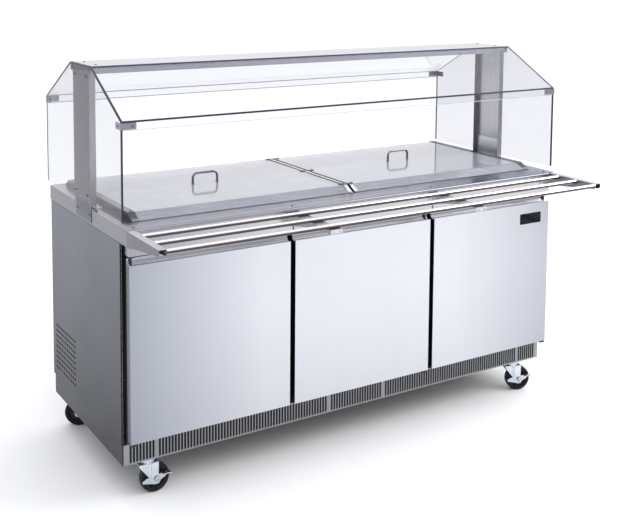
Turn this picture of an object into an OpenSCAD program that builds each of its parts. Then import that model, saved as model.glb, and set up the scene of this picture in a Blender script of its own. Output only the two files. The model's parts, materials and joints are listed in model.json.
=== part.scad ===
// Three-door refrigerated salad bar on casters, with a double-sided
// sneeze guard, two lift-off lids, five pans and a tray slide.
// X is the width, Y the depth (front faces -Y), Z is up; floor at Z = 0.

/* [Cabinet] */
// Width across the side panels
cab_w = 1843; // [1830:1:1860]
// Front plane of the cabinet body, in front of the counter middle
body_front = 321; // [316:1:326]
// Rear plane of the cabinet body, behind the counter middle
body_rear = 390; // [388:1:391]
// Height from the floor to the underside of the base frame
caster_h = 132.5; // [132:0.5:136]
// Height of the base skirt
skirt_h = 70.5; // [68:0.5:72]
// Sheet metal thickness of the outer panels
sheet = 1.5; // [1.2:0.1:1.6]

/* [Counter] */
// Height of the counter top above the base frame underside
counter_z = 802; // [800:1:804]
// Height of the side band of the counter
band_h = 54; // [52:1:56]
// Half width of the pan opening
well_hw = 846; // [844:1:848]
// Half depth of the pan opening
well_hd = 277; // [275:1:279]
// Middle of the pan opening, behind the counter middle
well_y = 41; // [40:1:42]

/* [Doors] */
// Gap between two doors
door_gap = 20; // [18:1:22]
// Door thickness without the gasket
door_t = 39; // [38:1:40]
// Radius of the finger channel along the door top
cove_r = 17; // [16:0.5:17.5]
// Radius of the hinge pins
pin_r = 4; // [3.5:0.5:4]
// Clearance around the hinge pins
pin_clear = 0.08; // [0.05:0.01:0.1]

/* [Pans] */
// Distance between two pans
pan_pitch = 335; // [334:1:336]
// Pan depth
pan_depth = 150; // [100:5:150]
// Depth of the pan rims below the counter top
pan_recess = 41.5; // [40:0.5:44]

/* [Sneeze guard] */
// Middle of the guard, behind the counter middle
guard_y = 15.5; // [12:0.5:18]
// Half depth at the top
guard_top_hd = 103; // [100:1:106]
// Half depth at the knee
guard_hd = 378; // [374:1:379]
// Top of the shelf above the base frame underside
shelf_z = 1296; // [1280:1:1310]
// Knee height above the base frame underside
knee_z = 1145; // [1140:1:1150]
// Side pane thickness
pane_t = 6; // [5:0.5:6]
// Height of the vertical lip of the front and rear panels
lip_h = 30; // [26:1:34]

/* [Tray slide] */
// Outer radius of the tubes
tube_r = 8; // [7:0.5:8]
// Reach of the arms in front of the counter middle
arm_reach = 634; // [630:1:640]

/* [Lids] */
// Height of the lid above the counter top
lid_h = 22.5; // [21:0.5:24]
// Height of the bow handle above the lid
bow_h = 45; // [40:1:48]

/* [Casters] */
// Wheel radius
wheel_r = 50.8; // [50:0.1:51]
// Wheel width
wheel_w = 32; // [30:1:32]
// Distance from the swivel axis to the axle
trail = 25; // [23:1:26]

/* [Hidden] */

$fn = 48;
eps = 0.01;
w2 = cab_w / 2;
B = caster_h;                      // underside of the base frame
zc = B + counter_z;                // counter top surface
y_shift = 125;                     // brings the middle of the footprint to Y = 0

// colours
steel = [0.72, 0.74, 0.77];
dsteel = [0.5, 0.52, 0.55];
clear = [0.85, 0.9, 0.95, 0.4];
black = [0.06, 0.06, 0.07];
zinc = [0.75, 0.78, 0.8];
white = [0.92, 0.93, 0.93];
copper = [0.72, 0.45, 0.3];

// ---- helpers -------------------------------------------------------------
// moves the cabinet frame so that the footprint is centred
module put() translate([0, y_shift, 0]) children();
// box from corner to corner
module bx(a, b) translate(a) cube([b[0] - a[0], b[1] - a[1], b[2] - a[2]]);
// extrudes a (y, z) outline along X
module xex(x0, x1) translate([x0, 0, 0]) rotate([90, 0, 90])
  linear_extrude(x1 - x0) children();
// cylinders along each axis
module cylx(r, x0, x1, y, z) translate([x0, y, z]) rotate([0, 90, 0])
  cylinder(r = r, h = x1 - x0);
module cyly(r, y0, y1, x, z) translate([x, y1, z]) rotate([90, 0, 0])
  cylinder(r = r, h = y1 - y0);
module cylz(r, z0, z1, x, y) translate([x, y, z0]) cylinder(r = r, h = z1 - z0);
// rectangle with true round corners
module rrect(w, d, r) {
  translate([-w / 2 + r, -d / 2]) square([w - 2 * r, d]);
  translate([-w / 2, -d / 2 + r]) square([w, d - 2 * r]);
  for (sx = [-1, 1], sy = [-1, 1])
    translate([sx * (w / 2 - r), sy * (d / 2 - r)]) circle(r);
}
// dome screw head with shank; the head points along +Z from the origin
module dome(r = 5, h = 2.6, sr = 2.5, sl = 4) {
  R = (r * r + h * h) / (2 * h);
  intersection() {
    translate([0, 0, h - R]) sphere(R);
    cylinder(r = r + 1, h = h + 1);
  }
  if (sl > 0) translate([0, 0, -sl]) cylinder(r = sr, h = sl + 0.2);
}
module both() { children(); mirror([1, 0, 0]) children(); }

// ---- cabinet shell -------------------------------------------------------
vent_y0 = 142; vent_z0 = 108.5; vent_p = 20.4; vent_r = 4.2; vent_s = 2.2;
module side_panel(s, vented) {
  z0 = B + skirt_h; z1 = zc - 8;
  color(steel) put() difference() {
    if (s < 0) bx([-w2, -body_front, z0], [-w2 + sheet, body_rear, z1]);
    else bx([w2 - sheet, -body_front, z0], [w2, body_rear, z1]);
    // rows of short level slots
    if (vented) for (i = [0:10], j = [0:8])
      translate([0, vent_y0 + i * vent_p, B + vent_z0 + j * vent_p]) {
        for (d = [-vent_s, vent_s]) cylx(vent_r, -w2 - 1, -w2 + 3, d, 0);
        bx([-w2 - 1, -vent_s, -vent_r], [-w2 + 3, vent_s, vent_r]);
      }
  }
}
module side_panel_left() side_panel(-1, true);
module side_panel_right() side_panel(1, false);

module back_panel() color(steel) put() difference() {
  bx([-w2 + 2, body_rear - 1.5, B + skirt_h], [w2 - 2, body_rear, zc - 8]);
  for (g = [-620, 0, 620], i = [0:9])
    bx([g - 190, body_rear - 3, B + 112 + i * 17], [g + 190, body_rear + 1, B + 118 + i * 17]);
  cyly(12.2, body_rear - 3, body_rear + 1, -780, B + 150);
}

module base_frame() color(dsteel) put() {
  z1 = B + skirt_h;
  both() bx([w2 - sheet, -body_front + 0.5, B], [w2, 372, z1]);
  bx([-w2 + 0.5, 370.5, B], [w2 - 0.5, 372, z1]);
  difference() {
    bx([-w2 + sheet - 0.5, -body_front + 0.5, z1 - 1.5], [w2 - sheet + 0.5, 371, z1]);
    bx([-280, 160, z1 - 3], [860, 350, z1 + 2]);
  }
  // lengthwise channels that carry the caster plates
  for (y = [-318, 282]) {
    bx([-w2 + sheet - 0.5, y, B], [w2 - sheet + 0.5, y + 88, B + 3]);
    for (x = [-w2 + sheet, -330, 300, w2 - sheet - 30])
      bx([x, y + 4, B + 2], [x + 30, y + 84, z1 - 1]);
  }
  for (x = [-860, 820]) bx([x, -232, B], [x + 40, 284, B + 3]);
}

// slots of the grille: outer groups, long groups and the middle group
gp = 11.5;
slot_x = concat([for (i = [0:7]) -894.5 + i * gp], [for (i = [0:57]) -791 + i * gp],
  [for (i = [0:19]) -109.25 + i * gp], [for (i = [0:57]) 791 - i * gp],
  [for (i = [0:7]) 894.5 - i * gp]);
module kick_grille() color(steel) put()
  translate([0, -body_front, 0]) rotate([90, 0, 0]) linear_extrude(sheet) difference() {
    translate([-w2 + sheet + 1, B]) square([2 * (w2 - sheet - 1), skirt_h]);
    for (x = slot_x) translate([x, B + 4.5]) {
      translate([-3.8, 3.8]) square([7.6, 54.5]);
      translate([0, 3.8]) circle(3.8);
      translate([0, 58.3]) circle(3.8);
    }
  }

// rail above the doors
fz0 = B + 711.5; fz1 = B + 787.5; fy = body_front + 50;
door_hw = w2 - 9;
mull_x = door_hw / 3 + door_gap / 6;   // middle of the gap between two doors
module front_fascia() color(steel) put() difference() {
  union() {
    bx([-door_hw, -fy, fz0], [door_hw, -fy + sheet, fz1]);
    bx([-door_hw, -fy, fz0], [door_hw, -body_front - 6, fz0 + sheet]);
    bx([-door_hw, -fy, fz1 - sheet], [door_hw, -body_front, fz1]);
    both() bx([door_hw - sheet, -fy, fz0], [door_hw, -body_front - 6, fz1]);
  }
  both() bx([mull_x - 2.5, -fy - 1, fz0 + 5], [mull_x + 2.5, -fy + 2, fz0 + 22]);
}

// foamed body with liner, door frame and mullions
liner_x = w2 - 47.5;
iz0 = B + 120.5; iz1 = B + 673.5;
module insulated_body() color(white) put() difference() {
  bx([-w2 + sheet, -body_front, B + skirt_h], [w2 - sheet, body_rear - 2, zc - 2.2]);
  // machine space low at the rear
  bx([-w2, 118, B], [w2, body_rear, B + 293.5]);
  // cold space behind the mullions and above the machine space
  bx([-liner_x, -body_front + 56, iz0], [liner_x, 73, B + 741.5]);
  bx([-liner_x, 72, B + 338.5], [liner_x, body_rear - 47, B + 741.5]);
  // door openings
  bx([-liner_x, -body_front - 1, iz0], [-mull_x - 30, -body_front + 57, iz1]);
  bx([-mull_x + 30, -body_front - 1, iz0], [mull_x - 30, -body_front + 57, iz1]);
  bx([mull_x + 30, -body_front - 1, iz0], [liner_x, -body_front + 57, iz1]);
  // opening for the pans
  bx([-well_hw - 4, well_y - well_hd - 4, B + 740], [well_hw + 4, well_y + well_hd + 4, zc]);
  // parting line between the lower and the upper foam shell
  bx([-w2, -body_front - 1, B + 293.3], [w2, body_rear, B + 293.5]);
}

// ---- counter -------------------------------------------------------------
cx = w2 + 2.5; cy0 = -380; cy1 = 392;
module counter_top() color(steel) put() {
  difference() {
    translate([0, 0, zc - 2]) linear_extrude(2) difference() {
      translate([-cx, cy0]) square([2 * cx, cy1 - cy0]);
      translate([0, well_y]) rrect(2 * well_hw, 2 * well_hd, 14);
    }
    both() for (x = [mull_x - 3, 892]) cylz(2.6, zc - 5, zc + 1, x, -358);
  }
  difference() {
    both() bx([w2 + 0.5, cy0, zc - band_h], [cx, cy1, zc - 2]);
    for (s = [-1, 1], y = [-62, 62])
      cylx(2.6, s > 0 ? w2 - 1 : -cx - 1, s > 0 ? cx + 1 : -w2 + 1, guard_y + y, B + 782);
  }
  bx([-cx + 1, cy1 - 1.5, zc - band_h], [cx - 1, cy1, zc - 2]);
  // rolled front edge between the tray arms
  cylx(7, -cx + 26.3, cx - 26.3, cy0 - 1, zc - 7);
  bx([-cx + 26.3, cy0 - 1, zc - 14], [cx - 26.3, cy0 + 8, zc - 1.9]);
}

pz = zc - pan_recess;              // underside of the pan rims
// four folded rails round the opening; the ledge carries the pan rims
module well_rail(L) rotate([90, 0, 90]) translate([0, 0, -L / 2]) linear_extrude(L) {
  translate([0, B + 742]) square([2, zc - 2 - B - 742]);
  translate([0, pz - 2.3]) square([well_hd + 3.5 - 255, 2]);
}
module pan_well_frame() color(steel) put() {
  for (m = [0, 1]) translate([0, well_y, 0]) mirror([0, m, 0])
    translate([0, -well_hd - 3.5, 0]) well_rail(2 * well_hw + 7);
  for (m = [0, 1]) translate([0, well_y, 0]) mirror([m, 0, 0])
    translate([-well_hw - 3.5, 0, 0]) rotate([0, 0, -90]) well_rail(509);
}
module pan_divider_bars() color(steel) put()
  for (x = [-1.5, -0.5, 0.5, 1.5]) translate([x * pan_pitch, well_y, 0]) {
    bx([-12, -254.5, pz - 6.3], [12, 254.5, pz - 0.3]);
    bx([-3.5, -254.5, pz - 1], [3.5, 254.5, pz + 2.2]);
    bx([-4.2, -266, pz - 0.3], [4.2, 266, pz + 1.2]);
  }
module food_pan(i) color(steel) put() translate([(i - 3) * pan_pitch, well_y, 0]) difference() {
  union() {
    translate([0, 0, pz]) linear_extrude(1.5) rrect(325, 530, 14);
    translate([0, 0, pz - pan_depth]) linear_extrude(pan_depth) rrect(304, 504, 24);
  }
  translate([0, 0, pz - pan_depth + 1.2]) linear_extrude(pan_depth + 5) rrect(301.6, 501.6, 22.8);
}
module food_pan_1() food_pan(1);
module food_pan_2() food_pan(2);
module food_pan_3() food_pan(3);
module food_pan_4() food_pan(4);
module food_pan_5() food_pan(5);

// ---- refrigeration -------------------------------------------------------
fan_y = 247; fan_z = B + 186;
module compressor() color(black) put() {
  bx([-700, 180, B + skirt_h], [-500, 330, B + skirt_h + 3]);
  for (x = [-680, -520], y = [200, 310]) cylz(10, B + skirt_h + 2, B + skirt_h + 20, x, y);
  bx([-690, 190, B + skirt_h + 20], [-510, 320, B + skirt_h + 24]);
  cylz(72, B + skirt_h + 24, B + skirt_h + 130, -600, 255);
  intersection() {
    translate([-600, 255, B + skirt_h + 96]) sphere(80);
    cylz(72, B + skirt_h + 129, B + skirt_h + 180, -600, 255);
  }
  bx([-545, 215, B + skirt_h + 50], [-505, 275, B + skirt_h + 110]);
}
module condenser() color(dsteel) put() {
  difference() {
    bx([-912, 150, B + 96], [-868, 344, B + 276]);
    for (i = [0:17]) bx([-913, 148, B + 104 + i * 9.6], [-876, 346, B + 108 + i * 9.6]);
  }
  difference() {
    union() {
      bx([-868, 146, B + skirt_h], [-866, 348, B + 282]);
      bx([-868, 146, B + skirt_h], [-842, 348, B + skirt_h + 2]);
    }
    cylx(80, -870, -860, fan_y, fan_z);
  }
  difference() {
    cylx(86, -866, -826, fan_y, fan_z);
    cylx(84, -867, -820, fan_y, fan_z);
  }
  // motor on three arms
  difference() {
    union() {
      cylx(30, -818, -760, fan_y, fan_z);
      for (a = [90, 210, 330]) translate([0, fan_y, fan_z]) rotate([a, 0, 0])
        bx([-816, 28, -6], [-812, 92, 6]);
    }
    cylx(4.1, -830, -790, fan_y, fan_z);
  }
  for (a = [90, 210, 330]) translate([0, fan_y, fan_z]) rotate([a, 0, 0])
    bx([-866, 85.5, -6], [-812, 92, 6]);
}
module condenser_fan() color(black) put() translate([0, fan_y, fan_z]) {
  rotate([0, 90, 0]) translate([0, 0, -850]) cylinder(r = 20, h = 22);
  rotate([0, 90, 0]) translate([0, 0, -840]) cylinder(r = 4, h = 48);
  for (a = [0:72:288]) rotate([a, 0, 0]) translate([-839, 0, 0]) rotate([0, 0, 0])
    translate([0, 45, 0]) rotate([0, 28, 0]) cube([1.6, 62, 34], center = true);
}
module evaporator_coil() color(dsteel) put() {
  difference() {
    bx([-240, 252, B + 352], [240, body_rear - 47, B + 500]);
    bx([-238, 250, B + 354], [238, body_rear - 49.5, B + 498]);
  }
  difference() {
    bx([-238, 250.5, B + 354], [238, 252.5, B + 498]);
    for (x = [-120, 120]) cyly(56, 248, 255, x, B + 426);
  }
  difference() {
    bx([-225, 285, B + 362], [225, 330, B + 490]);
    for (i = [0:43]) bx([-218 + i * 10, 280, B + 366], [-212 + i * 10, 324, B + 486]);
  }
  for (x = [-230, 224]) bx([x, 253, B + 354], [x + 6, 335, B + 498]);
}
// tube along a list of points
module pipe(p, r) for (i = [0:len(p) - 2]) {
  v = p[i + 1] - p[i]; L = norm(v);
  translate(p[i]) {
    rotate([0, acos(v[2] / L), atan2(v[1], v[0])]) cylinder(r = r, h = L);
    sphere(r);
  }
}
module refrigerant_lines() color(copper) put() {
  pipe([[-640, 189.5, B + 150], [-640, 140, B + 150], [-640, 140, B + 100], [-890, 140, B + 100], [-890, 148, B + 100]], 4);
  pipe([[-890, 355, B + 120], [-480, 355, B + 120], [-480, 355, B + 280]], 3);
  pipe([[-480, 355, B + 280], [-480, 362, B + 292]], 3);
  pipe([[-538, 300, B + 200], [-440, 300, B + 200], [-440, 355, B + 200], [-440, 355, B + 280]], 5);
}
module temperature_controller() color(black) put() {
  bx([-400, 300, B + skirt_h], [-310, 360, B + skirt_h + 90]);
  cyly(16, 288, 300, -355, B + skirt_h + 55);
  bx([-357, 284, B + skirt_h + 41], [-353, 300, B + skirt_h + 69]);
}
module cord_gland() color(black) put() difference() {
  union() {
    cyly(12, body_rear - 12, body_rear + 5, -780, B + 150);
    cyly(17, body_rear, body_rear + 3, -780, B + 150);
    cyly(17, body_rear - 6, body_rear - 1.5, -780, B + 150);
  }
  cyly(5, body_rear - 14, body_rear + 8, -780, B + 150);
}

// one wire shelf in each compartment, with its four corner posts and clips
module shelf(x0, x1) {
  z = B + 395; y0 = -245; y1 = 225;
  for (y = [y0, y1]) cylx(3.5, x0, x1, y, z);
  for (x = [x0, x1]) cyly(3.5, y0, y1, x, z);
  for (y = [-90, 70]) cylx(3, x0, x1, y, z - 4.5);
  n = floor((x1 - x0) / 29);
  for (i = [1:n - 1]) cyly(1.6, y0, y1, x0 + i * (x1 - x0) / n, z + 1);
  for (x = [x0 + 16, x1 - 16], y = [y0 + 12, y1 - 12]) {
    bx([x - 5, y - 3, y < 72 ? iz0 : B + 338.5], [x + 5, y + 1, z + 150]);
    bx([x - 12, y - 9, z - 7.5], [x + 12, y + 1, z - 3]);
  }
}
module wire_shelves() color(zinc) put() {
  shelf(-liner_x + 22, -mull_x - 40);
  shelf(-mull_x + 60, mull_x - 60);
  shelf(mull_x + 40, liner_x - 22);
}

// ---- doors ---------------------------------------------------------------
yd = -body_front - 51;             // front face of the doors
dz0 = B + 90.5; dlip = B + 680.3; dz1 = B + 701.5; dzc = B + 693.5;
door_w = (2 * door_hw - 2 * door_gap) / 3;
yr = yd + door_t;                  // rear of the skin
hinge_y = yd + 20;
function dx0(i) = -door_hw + i * (door_w + door_gap);
function hinge_x(i) = i < 1 ? dx0(i) + 12.5 : dx0(i) + door_w - 12.5;

module cove_cut(g) {
  translate([yd + 4 - g, dzc]) square([21 + 2 * g, 60]);
  translate([yd + 4 - g, dzc - cove_r - g + 0.5]) square([4 + g, 60]);
  intersection() {
    translate([yd + 8, dzc]) circle(cove_r + g);
    translate([yd + 4 - g, dzc - 30]) square([60, 60]);
  }
}
module door_skin(i) {
  t = 1.2;
  color(steel) put() difference() {
    xex(dx0(i), dx0(i) + door_w) difference() {
      translate([yd, dz0]) square([door_t, dz1 - dz0]);
      translate([yd - 1, dlip]) square([5.01, 60]);
      cove_cut(0);
    }
    xex(dx0(i) + t, dx0(i) + door_w - t) difference() {
      translate([yd + t, dz0 + t]) square([door_t, dz1 - dz0 - 2 * t]);
      translate([yd - 1, dzc - cove_r - t]) square([9, 60]);
      cove_cut(t);
    }
    cylz(pin_r + pin_clear, dz0 - 1, dz0 + 22, hinge_x(i), hinge_y);
    cylz(pin_r + pin_clear, dz1 - 44, dz1 + 2, hinge_x(i), hinge_y);
  }
}
module door_core(i) {
  t = 1.2;
  color(white) put() difference() {
    union() {
      xex(dx0(i) + t, dx0(i) + door_w - t) difference() {
        translate([yd + t, dz0 + t]) square([door_t - t, dz1 - dz0 - 2 * t]);
        translate([yd - 1, dzc - cove_r - t]) square([9, 60]);
        cove_cut(t);
      }
      bx([dx0(i), yr, dz0], [dx0(i) + door_w, yr + 2, dz1]);
      bx([dx0(i) + 64, yr + 1, dz0 + 52], [dx0(i) + door_w - 64, yr + 18, dz1 - 64]);
    }
    bx([dx0(i) + 78, yr + 12, dz0 + 66], [dx0(i) + door_w - 78, yr + 19, dz1 - 78]);
    cylz(pin_r + pin_clear, dz0 - 1, dz0 + 22, hinge_x(i), hinge_y);
    cylz(pin_r + pin_clear, dz1 - 44, dz1 + 2, hinge_x(i), hinge_y);
  }
}
module door_gasket(i) color(black) put() difference() {
  bx([dx0(i) + 10, yr + 2, dz0 + 10], [dx0(i) + door_w - 10, -body_front - 0.5, dz1 - 10]);
  bx([dx0(i) + 25, yr, dz0 + 25], [dx0(i) + door_w - 25, -body_front + 1, dz1 - 25]);
}
module left_door_skin() door_skin(0);
module left_door_core() door_core(0);
module left_door_gasket() door_gasket(0);
module middle_door_skin() door_skin(1);
module middle_door_core() door_core(1);
module middle_door_gasket() door_gasket(1);
module right_door_skin() door_skin(2);
module right_door_core() door_core(2);
module right_door_gasket() door_gasket(2);

// upper and lower pivot brackets with their pins
module hinge_brackets() color(dsteel) put()
  for (i = [0:2]) translate([hinge_x(i), 0, 0]) {
    bx([-11, yd + 1.5, dz0 - 8], [11, -body_front, dz0 - 2]);
    bx([-11, -body_front - 3, dz0 - 19], [11, -body_front, dz0 - 2]);
    cylz(pin_r, dz0 - 4, dz0 + 20, 0, hinge_y);
    bx([-11, hinge_y - 10, dz1 + 3], [11, -body_front, dz1 + 6]);
    bx([-11, -body_front - 3, dz1 + 3], [11, -body_front, dz1 + 30]);
    cylz(pin_r, dz1 - 42, dz1 + 4, 0, hinge_y);
  }
// bare plate on the right door
module door_badge() color(black) put()
  translate([813, yd - 0.01, B + 620]) rotate([90, 0, 0]) linear_extrude(2.2) rrect(110, 42, 3);

// ---- sneeze guard --------------------------------------------------------
zs = B + shelf_z; zk = B + knee_z; gx = w2 + 4.6;
gt = guard_top_hd; gh = guard_hd;
scr_y = 58; scr_top = B + 1257; scr_low = B + 848.5;
module guard_posts() color(dsteel) put() both() difference() {
  union() {
    bx([gx - 2, guard_y - 81, zc + 1], [gx, guard_y + 81, zs - 2.1]);
    bx([gx - 2, guard_y - 76, zc - band_h + 7], [gx, guard_y + 76, zc + 2]);
    for (s = [-1, 1])
      bx([gx - 22, guard_y + s * 80 - 1, zc + 1], [gx - 1, guard_y + s * 80 + 1, zs - 2.1]);
    bx([gx - 46, guard_y - 79.5, zs - 4.1], [gx - 1, guard_y + 79.5, zs - 2.1]);
    // foot bracket, with its own gap to the post
    bx([gx - 4.2, guard_y - 68, zc + 0.1], [gx - 2.2, guard_y + 68, zc + 84]);
    bx([gx - 46, guard_y - 68, zc + 0.1], [gx - 2.2, guard_y + 68, zc + 2.1]);
    for (s = [-1, 1]) cylx(5, gx - 7.2, gx - 4.1, guard_y + s * scr_y, scr_low);
  }
  for (s = [-1, 1]) {
    cylx(2.6, gx - 10, gx + 1, guard_y + s * scr_y, scr_low);
    cylx(2.6, gx - 10, gx + 1, guard_y + s * scr_y, scr_top);
    cylx(2.6, gx - 10, gx + 1, guard_y + s * 62, B + 782);
    cylz(2.6, zs - 6, zs, gx - 30, guard_y + s * scr_y);
  }
}
module top_shelf() color(steel) put() difference() {
  union() {
    bx([-gx, guard_y - gt, zs - 2], [gx, guard_y + gt, zs]);
    for (s = [-1, 1]) {
      bx([-gx, guard_y + s * (gt - 0.75) - 0.75, zs - 28.5], [gx, guard_y + s * (gt - 0.75) + 0.75, zs - 1]);
      bx([-gx, guard_y + s * (gt - 5) - 5, zs - 28.5], [gx, guard_y + s * (gt - 5) + 5, zs - 27]);
    }
  }
  for (sx = [-1, 1], sy = [-1, 1]) cylz(2.6, zs - 6, zs + 1, sx * (gx - 30), guard_y + sy * scr_y);
}
module side_pane(s) color(clear) put() difference() {
  xex(s > 0 ? gx + 0.3 : -gx - 0.3 - pane_t, s > 0 ? gx + 0.3 + pane_t : -gx - 0.3)
    polygon([[guard_y - gt, zs - 0.7], [guard_y + gt, zs - 0.7], [guard_y + gh, zk],
      [guard_y + gh, zc + 19], [guard_y - gh, zc + 19], [guard_y - gh, zk]]);
  for (y = [-scr_y, scr_y], z = [scr_low, scr_top])
    cylx(2.6, s > 0 ? gx : -gx - 8, s > 0 ? gx + 8 : -gx, guard_y + y, z);
  for (y = [-1, 1]) cylx(2.2, s > 0 ? gx : -gx - 8, s > 0 ? gx + 8 : -gx, guard_y + y * (gh - 22), zk - 15);
}
module side_pane_left() side_pane(-1);
module side_pane_right() side_pane(1);

// front and rear panels: a slope from the shelf to the knee, then a lip
ps = (zs - 0.7 - zk) / (gh - gt);
pt = 5; pn = pt * sqrt(1 + ps * ps);
module guard_panels() color(clear) put() difference() {
  for (s = [-1, 1]) xex(-gx + 0.3, gx - 0.3)
    polygon([[guard_y + s * (gt + 0.3), zs - 0.7 - 0.3 * ps], [guard_y + s * gh, zk],
      [guard_y + s * gh, zk - lip_h], [guard_y + s * (gh - pt), zk - lip_h],
      [guard_y + s * (gh - pt), zk + pt * ps - pn], [guard_y + s * (gt + 0.3), zs - 0.7 - 0.3 * ps - pn]]);
  for (sx = [-1, 1], y = [-1, 1])
    cyly(2.2, y > 0 ? guard_y + gh - 8 : guard_y - gh - 2, y > 0 ? guard_y + gh + 2 : guard_y - gh + 8,
      sx * (gx - 32), zk - 15);
}
module corner_clips() color(dsteel) put() both() for (s = [-1, 1]) translate([0, guard_y, 0])
  mirror([0, s > 0 ? 1 : 0, 0]) difference() {
    union() {
      bx([gx - 45, -gh - 2.1, zk - 26], [gx + pane_t + 2.4, -gh - 0.1, zk - 4]);
      bx([gx + pane_t + 0.4, -gh - 2.1, zk - 26], [gx + pane_t + 2.4, -gh + 42, zk - 4]);
    }
    cyly(2.6, -gh - 4, -gh + 1, gx - 32, zk - 15);
    cylx(2.6, gx + pane_t - 1, gx + pane_t + 4, -gh + 22, zk - 15);
  }

ax = cx;                           // outer face of the tray arms
tube_y = [-436, -531, -628]; tube_z = zc - 10;
module dome_screws() color(zinc) put() {
  // tray slide screws on the counter
  both() for (x = [mull_x - 3, 892]) translate([x, -358, zc]) dome(5, 2.6, 2.5, 6);
  // shelf to post
  both() for (s = [-1, 1]) translate([gx - 30, guard_y + s * scr_y, zs]) dome(5, 2.6, 2.5, 8);
  // pane and post
  both() for (s = [-1, 1], z = [scr_low, scr_top])
    translate([gx + 0.3 + pane_t, guard_y + s * scr_y, z]) rotate([0, 90, 0]) dome(5, 2.6, 2.5, 13);
  // post tab to the counter band
  both() for (s = [-1, 1]) translate([gx, guard_y + s * 62, B + 782]) rotate([0, 90, 0]) dome(5, 2.6, 2.5, 4);
  // corner clips
  both() for (s = [-1, 1]) {
    translate([gx - 32, guard_y + s * (gh + 2.1), zk - 15]) rotate([-s * 90, 0, 0]) dome(4.5, 2.4, 2.1, 5);
    translate([gx + pane_t + 2.4, guard_y + s * (gh - 22), zk - 15]) rotate([0, 90, 0]) dome(4.5, 2.4, 2.1, 5);
  }
  // tube ends inside the arms
  both() for (y = tube_y) translate([ax - 24.4, y, tube_z]) rotate([0, 90, 0]) dome(6, 4, 2.9, 6);
}

// ---- tray slide ----------------------------------------------------------
module arm_outline() polygon([[cy0, zc - band_h], [cy0 - 12, zc - band_h - 1], [cy0 - 60, zc - 46],
  [cy0 - 120, zc - 38], [cy0 - 180, zc - 31], [-arm_reach + 22, zc - 24.5], [-arm_reach + 8, zc - 23.5],
  [-arm_reach, zc - 16], [-arm_reach, zc - 2], [cy0, zc - 2]]);
module tray_arms() both() difference() {
  union() {
    xex(ax - 1.5, ax) arm_outline();
    xex(ax - 26, ax - 24.5) union() {
      arm_outline();
      polygon([[cy0 - 1, zc - band_h], [-fy - 0.1, zc - 56], [-fy - 0.1, zc - 20], [cy0 - 1, zc - 14.5]]);
    }
    bx([ax - 26, -arm_reach, zc - 3.5], [ax, cy0, zc - 2]);
    bx([ax - 25, cy0 - 1.5, zc - band_h + 2], [ax - 1, cy0, zc - 3]);
    // ear on the rail
    bx([866, -fy - 1.8, zc - 56], [ax - 24.5, -fy - 0.1, zc - 20]);
  }
  for (y = tube_y) cylx(3, ax - 27, ax - 23, y, tube_z);
  cyly(3.6, -fy - 3, -fy + 1, 884, zc - 43);
}
module tray_brackets() both() translate([mull_x, 0, 0]) difference() {
  union() {
    bx([-23, -648, zc - 20.1], [23, -fy - 0.1, zc - 18.2]);
    bx([-23, -648, zc - 31], [23, -646.4, zc - 18.2]);
    bx([-14, -fy - 1.8, zc - 66], [14, -fy - 0.1, zc - 18.2]);
    xex(21.4, 23) polygon([[-fy - 0.1, zc - 19], [-fy - 0.1, zc - 62], [-fy - 16, zc - 62],
      [-520, zc - 36], [-648, zc - 31], [-648, zc - 19]]);
  }
  cyly(3.6, -fy - 3, -fy + 1, 0, zc - 43);
  for (x = [-14, 14]) cyly(3.2, -650, -645, x, zc - 26);
}
module tray_supports() color(dsteel) put() {
  tray_arms();
  tray_brackets();
}
module tray_tubes() color(steel) put() for (y = tube_y) difference() {
  cylx(tube_r, -ax + 26.1, ax - 26.1, y, tube_z);
  cylx(tube_r - 1.2, -ax + 30, ax - 30, y, tube_z);
  both() cylx(3, ax - 32, ax - 20, y, tube_z);
}

// ---- lids ----------------------------------------------------------------
lx0 = 4; lx1 = 870; zl = zc + lid_h;
ly0 = well_y - 291; ly1 = well_y + 292; lr = 42;
// cover outline: flat top with a sloped skirt front and rear
module lid_outline(g, zb) polygon([[ly0 - lr - g, zb], [ly0 - g * 0.6, zl + g], [ly1 + g * 0.6, zl + g],
  [ly1 + lr * 0.75 + g, zb]]);
module lid_cover(s) color(clear) put() mirror([s < 0 ? 1 : 0, 0, 0]) difference() {
  xex(lx0 + 1.6, lx1 - 1.6) difference() {
    lid_outline(0, zc + 2);
    translate([0, -3]) lid_outline(-2.2, zc + 4);
    translate([ly0 - lr + 4.4, zc + 1]) square([ly1 - ly0 + lr * 1.75 - 8.8, 3]);
  }
  for (x = [-50, 50]) cylz(5, zl - 10, zl + 1, 446 + x, well_y + 1);
  for (x = [lx0 + 20, lx1 - 18], y = [ly0 + 14, well_y + 1, ly1 - 14]) cylz(2.8, zl - 10, zl + 1, x, y);
}
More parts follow.
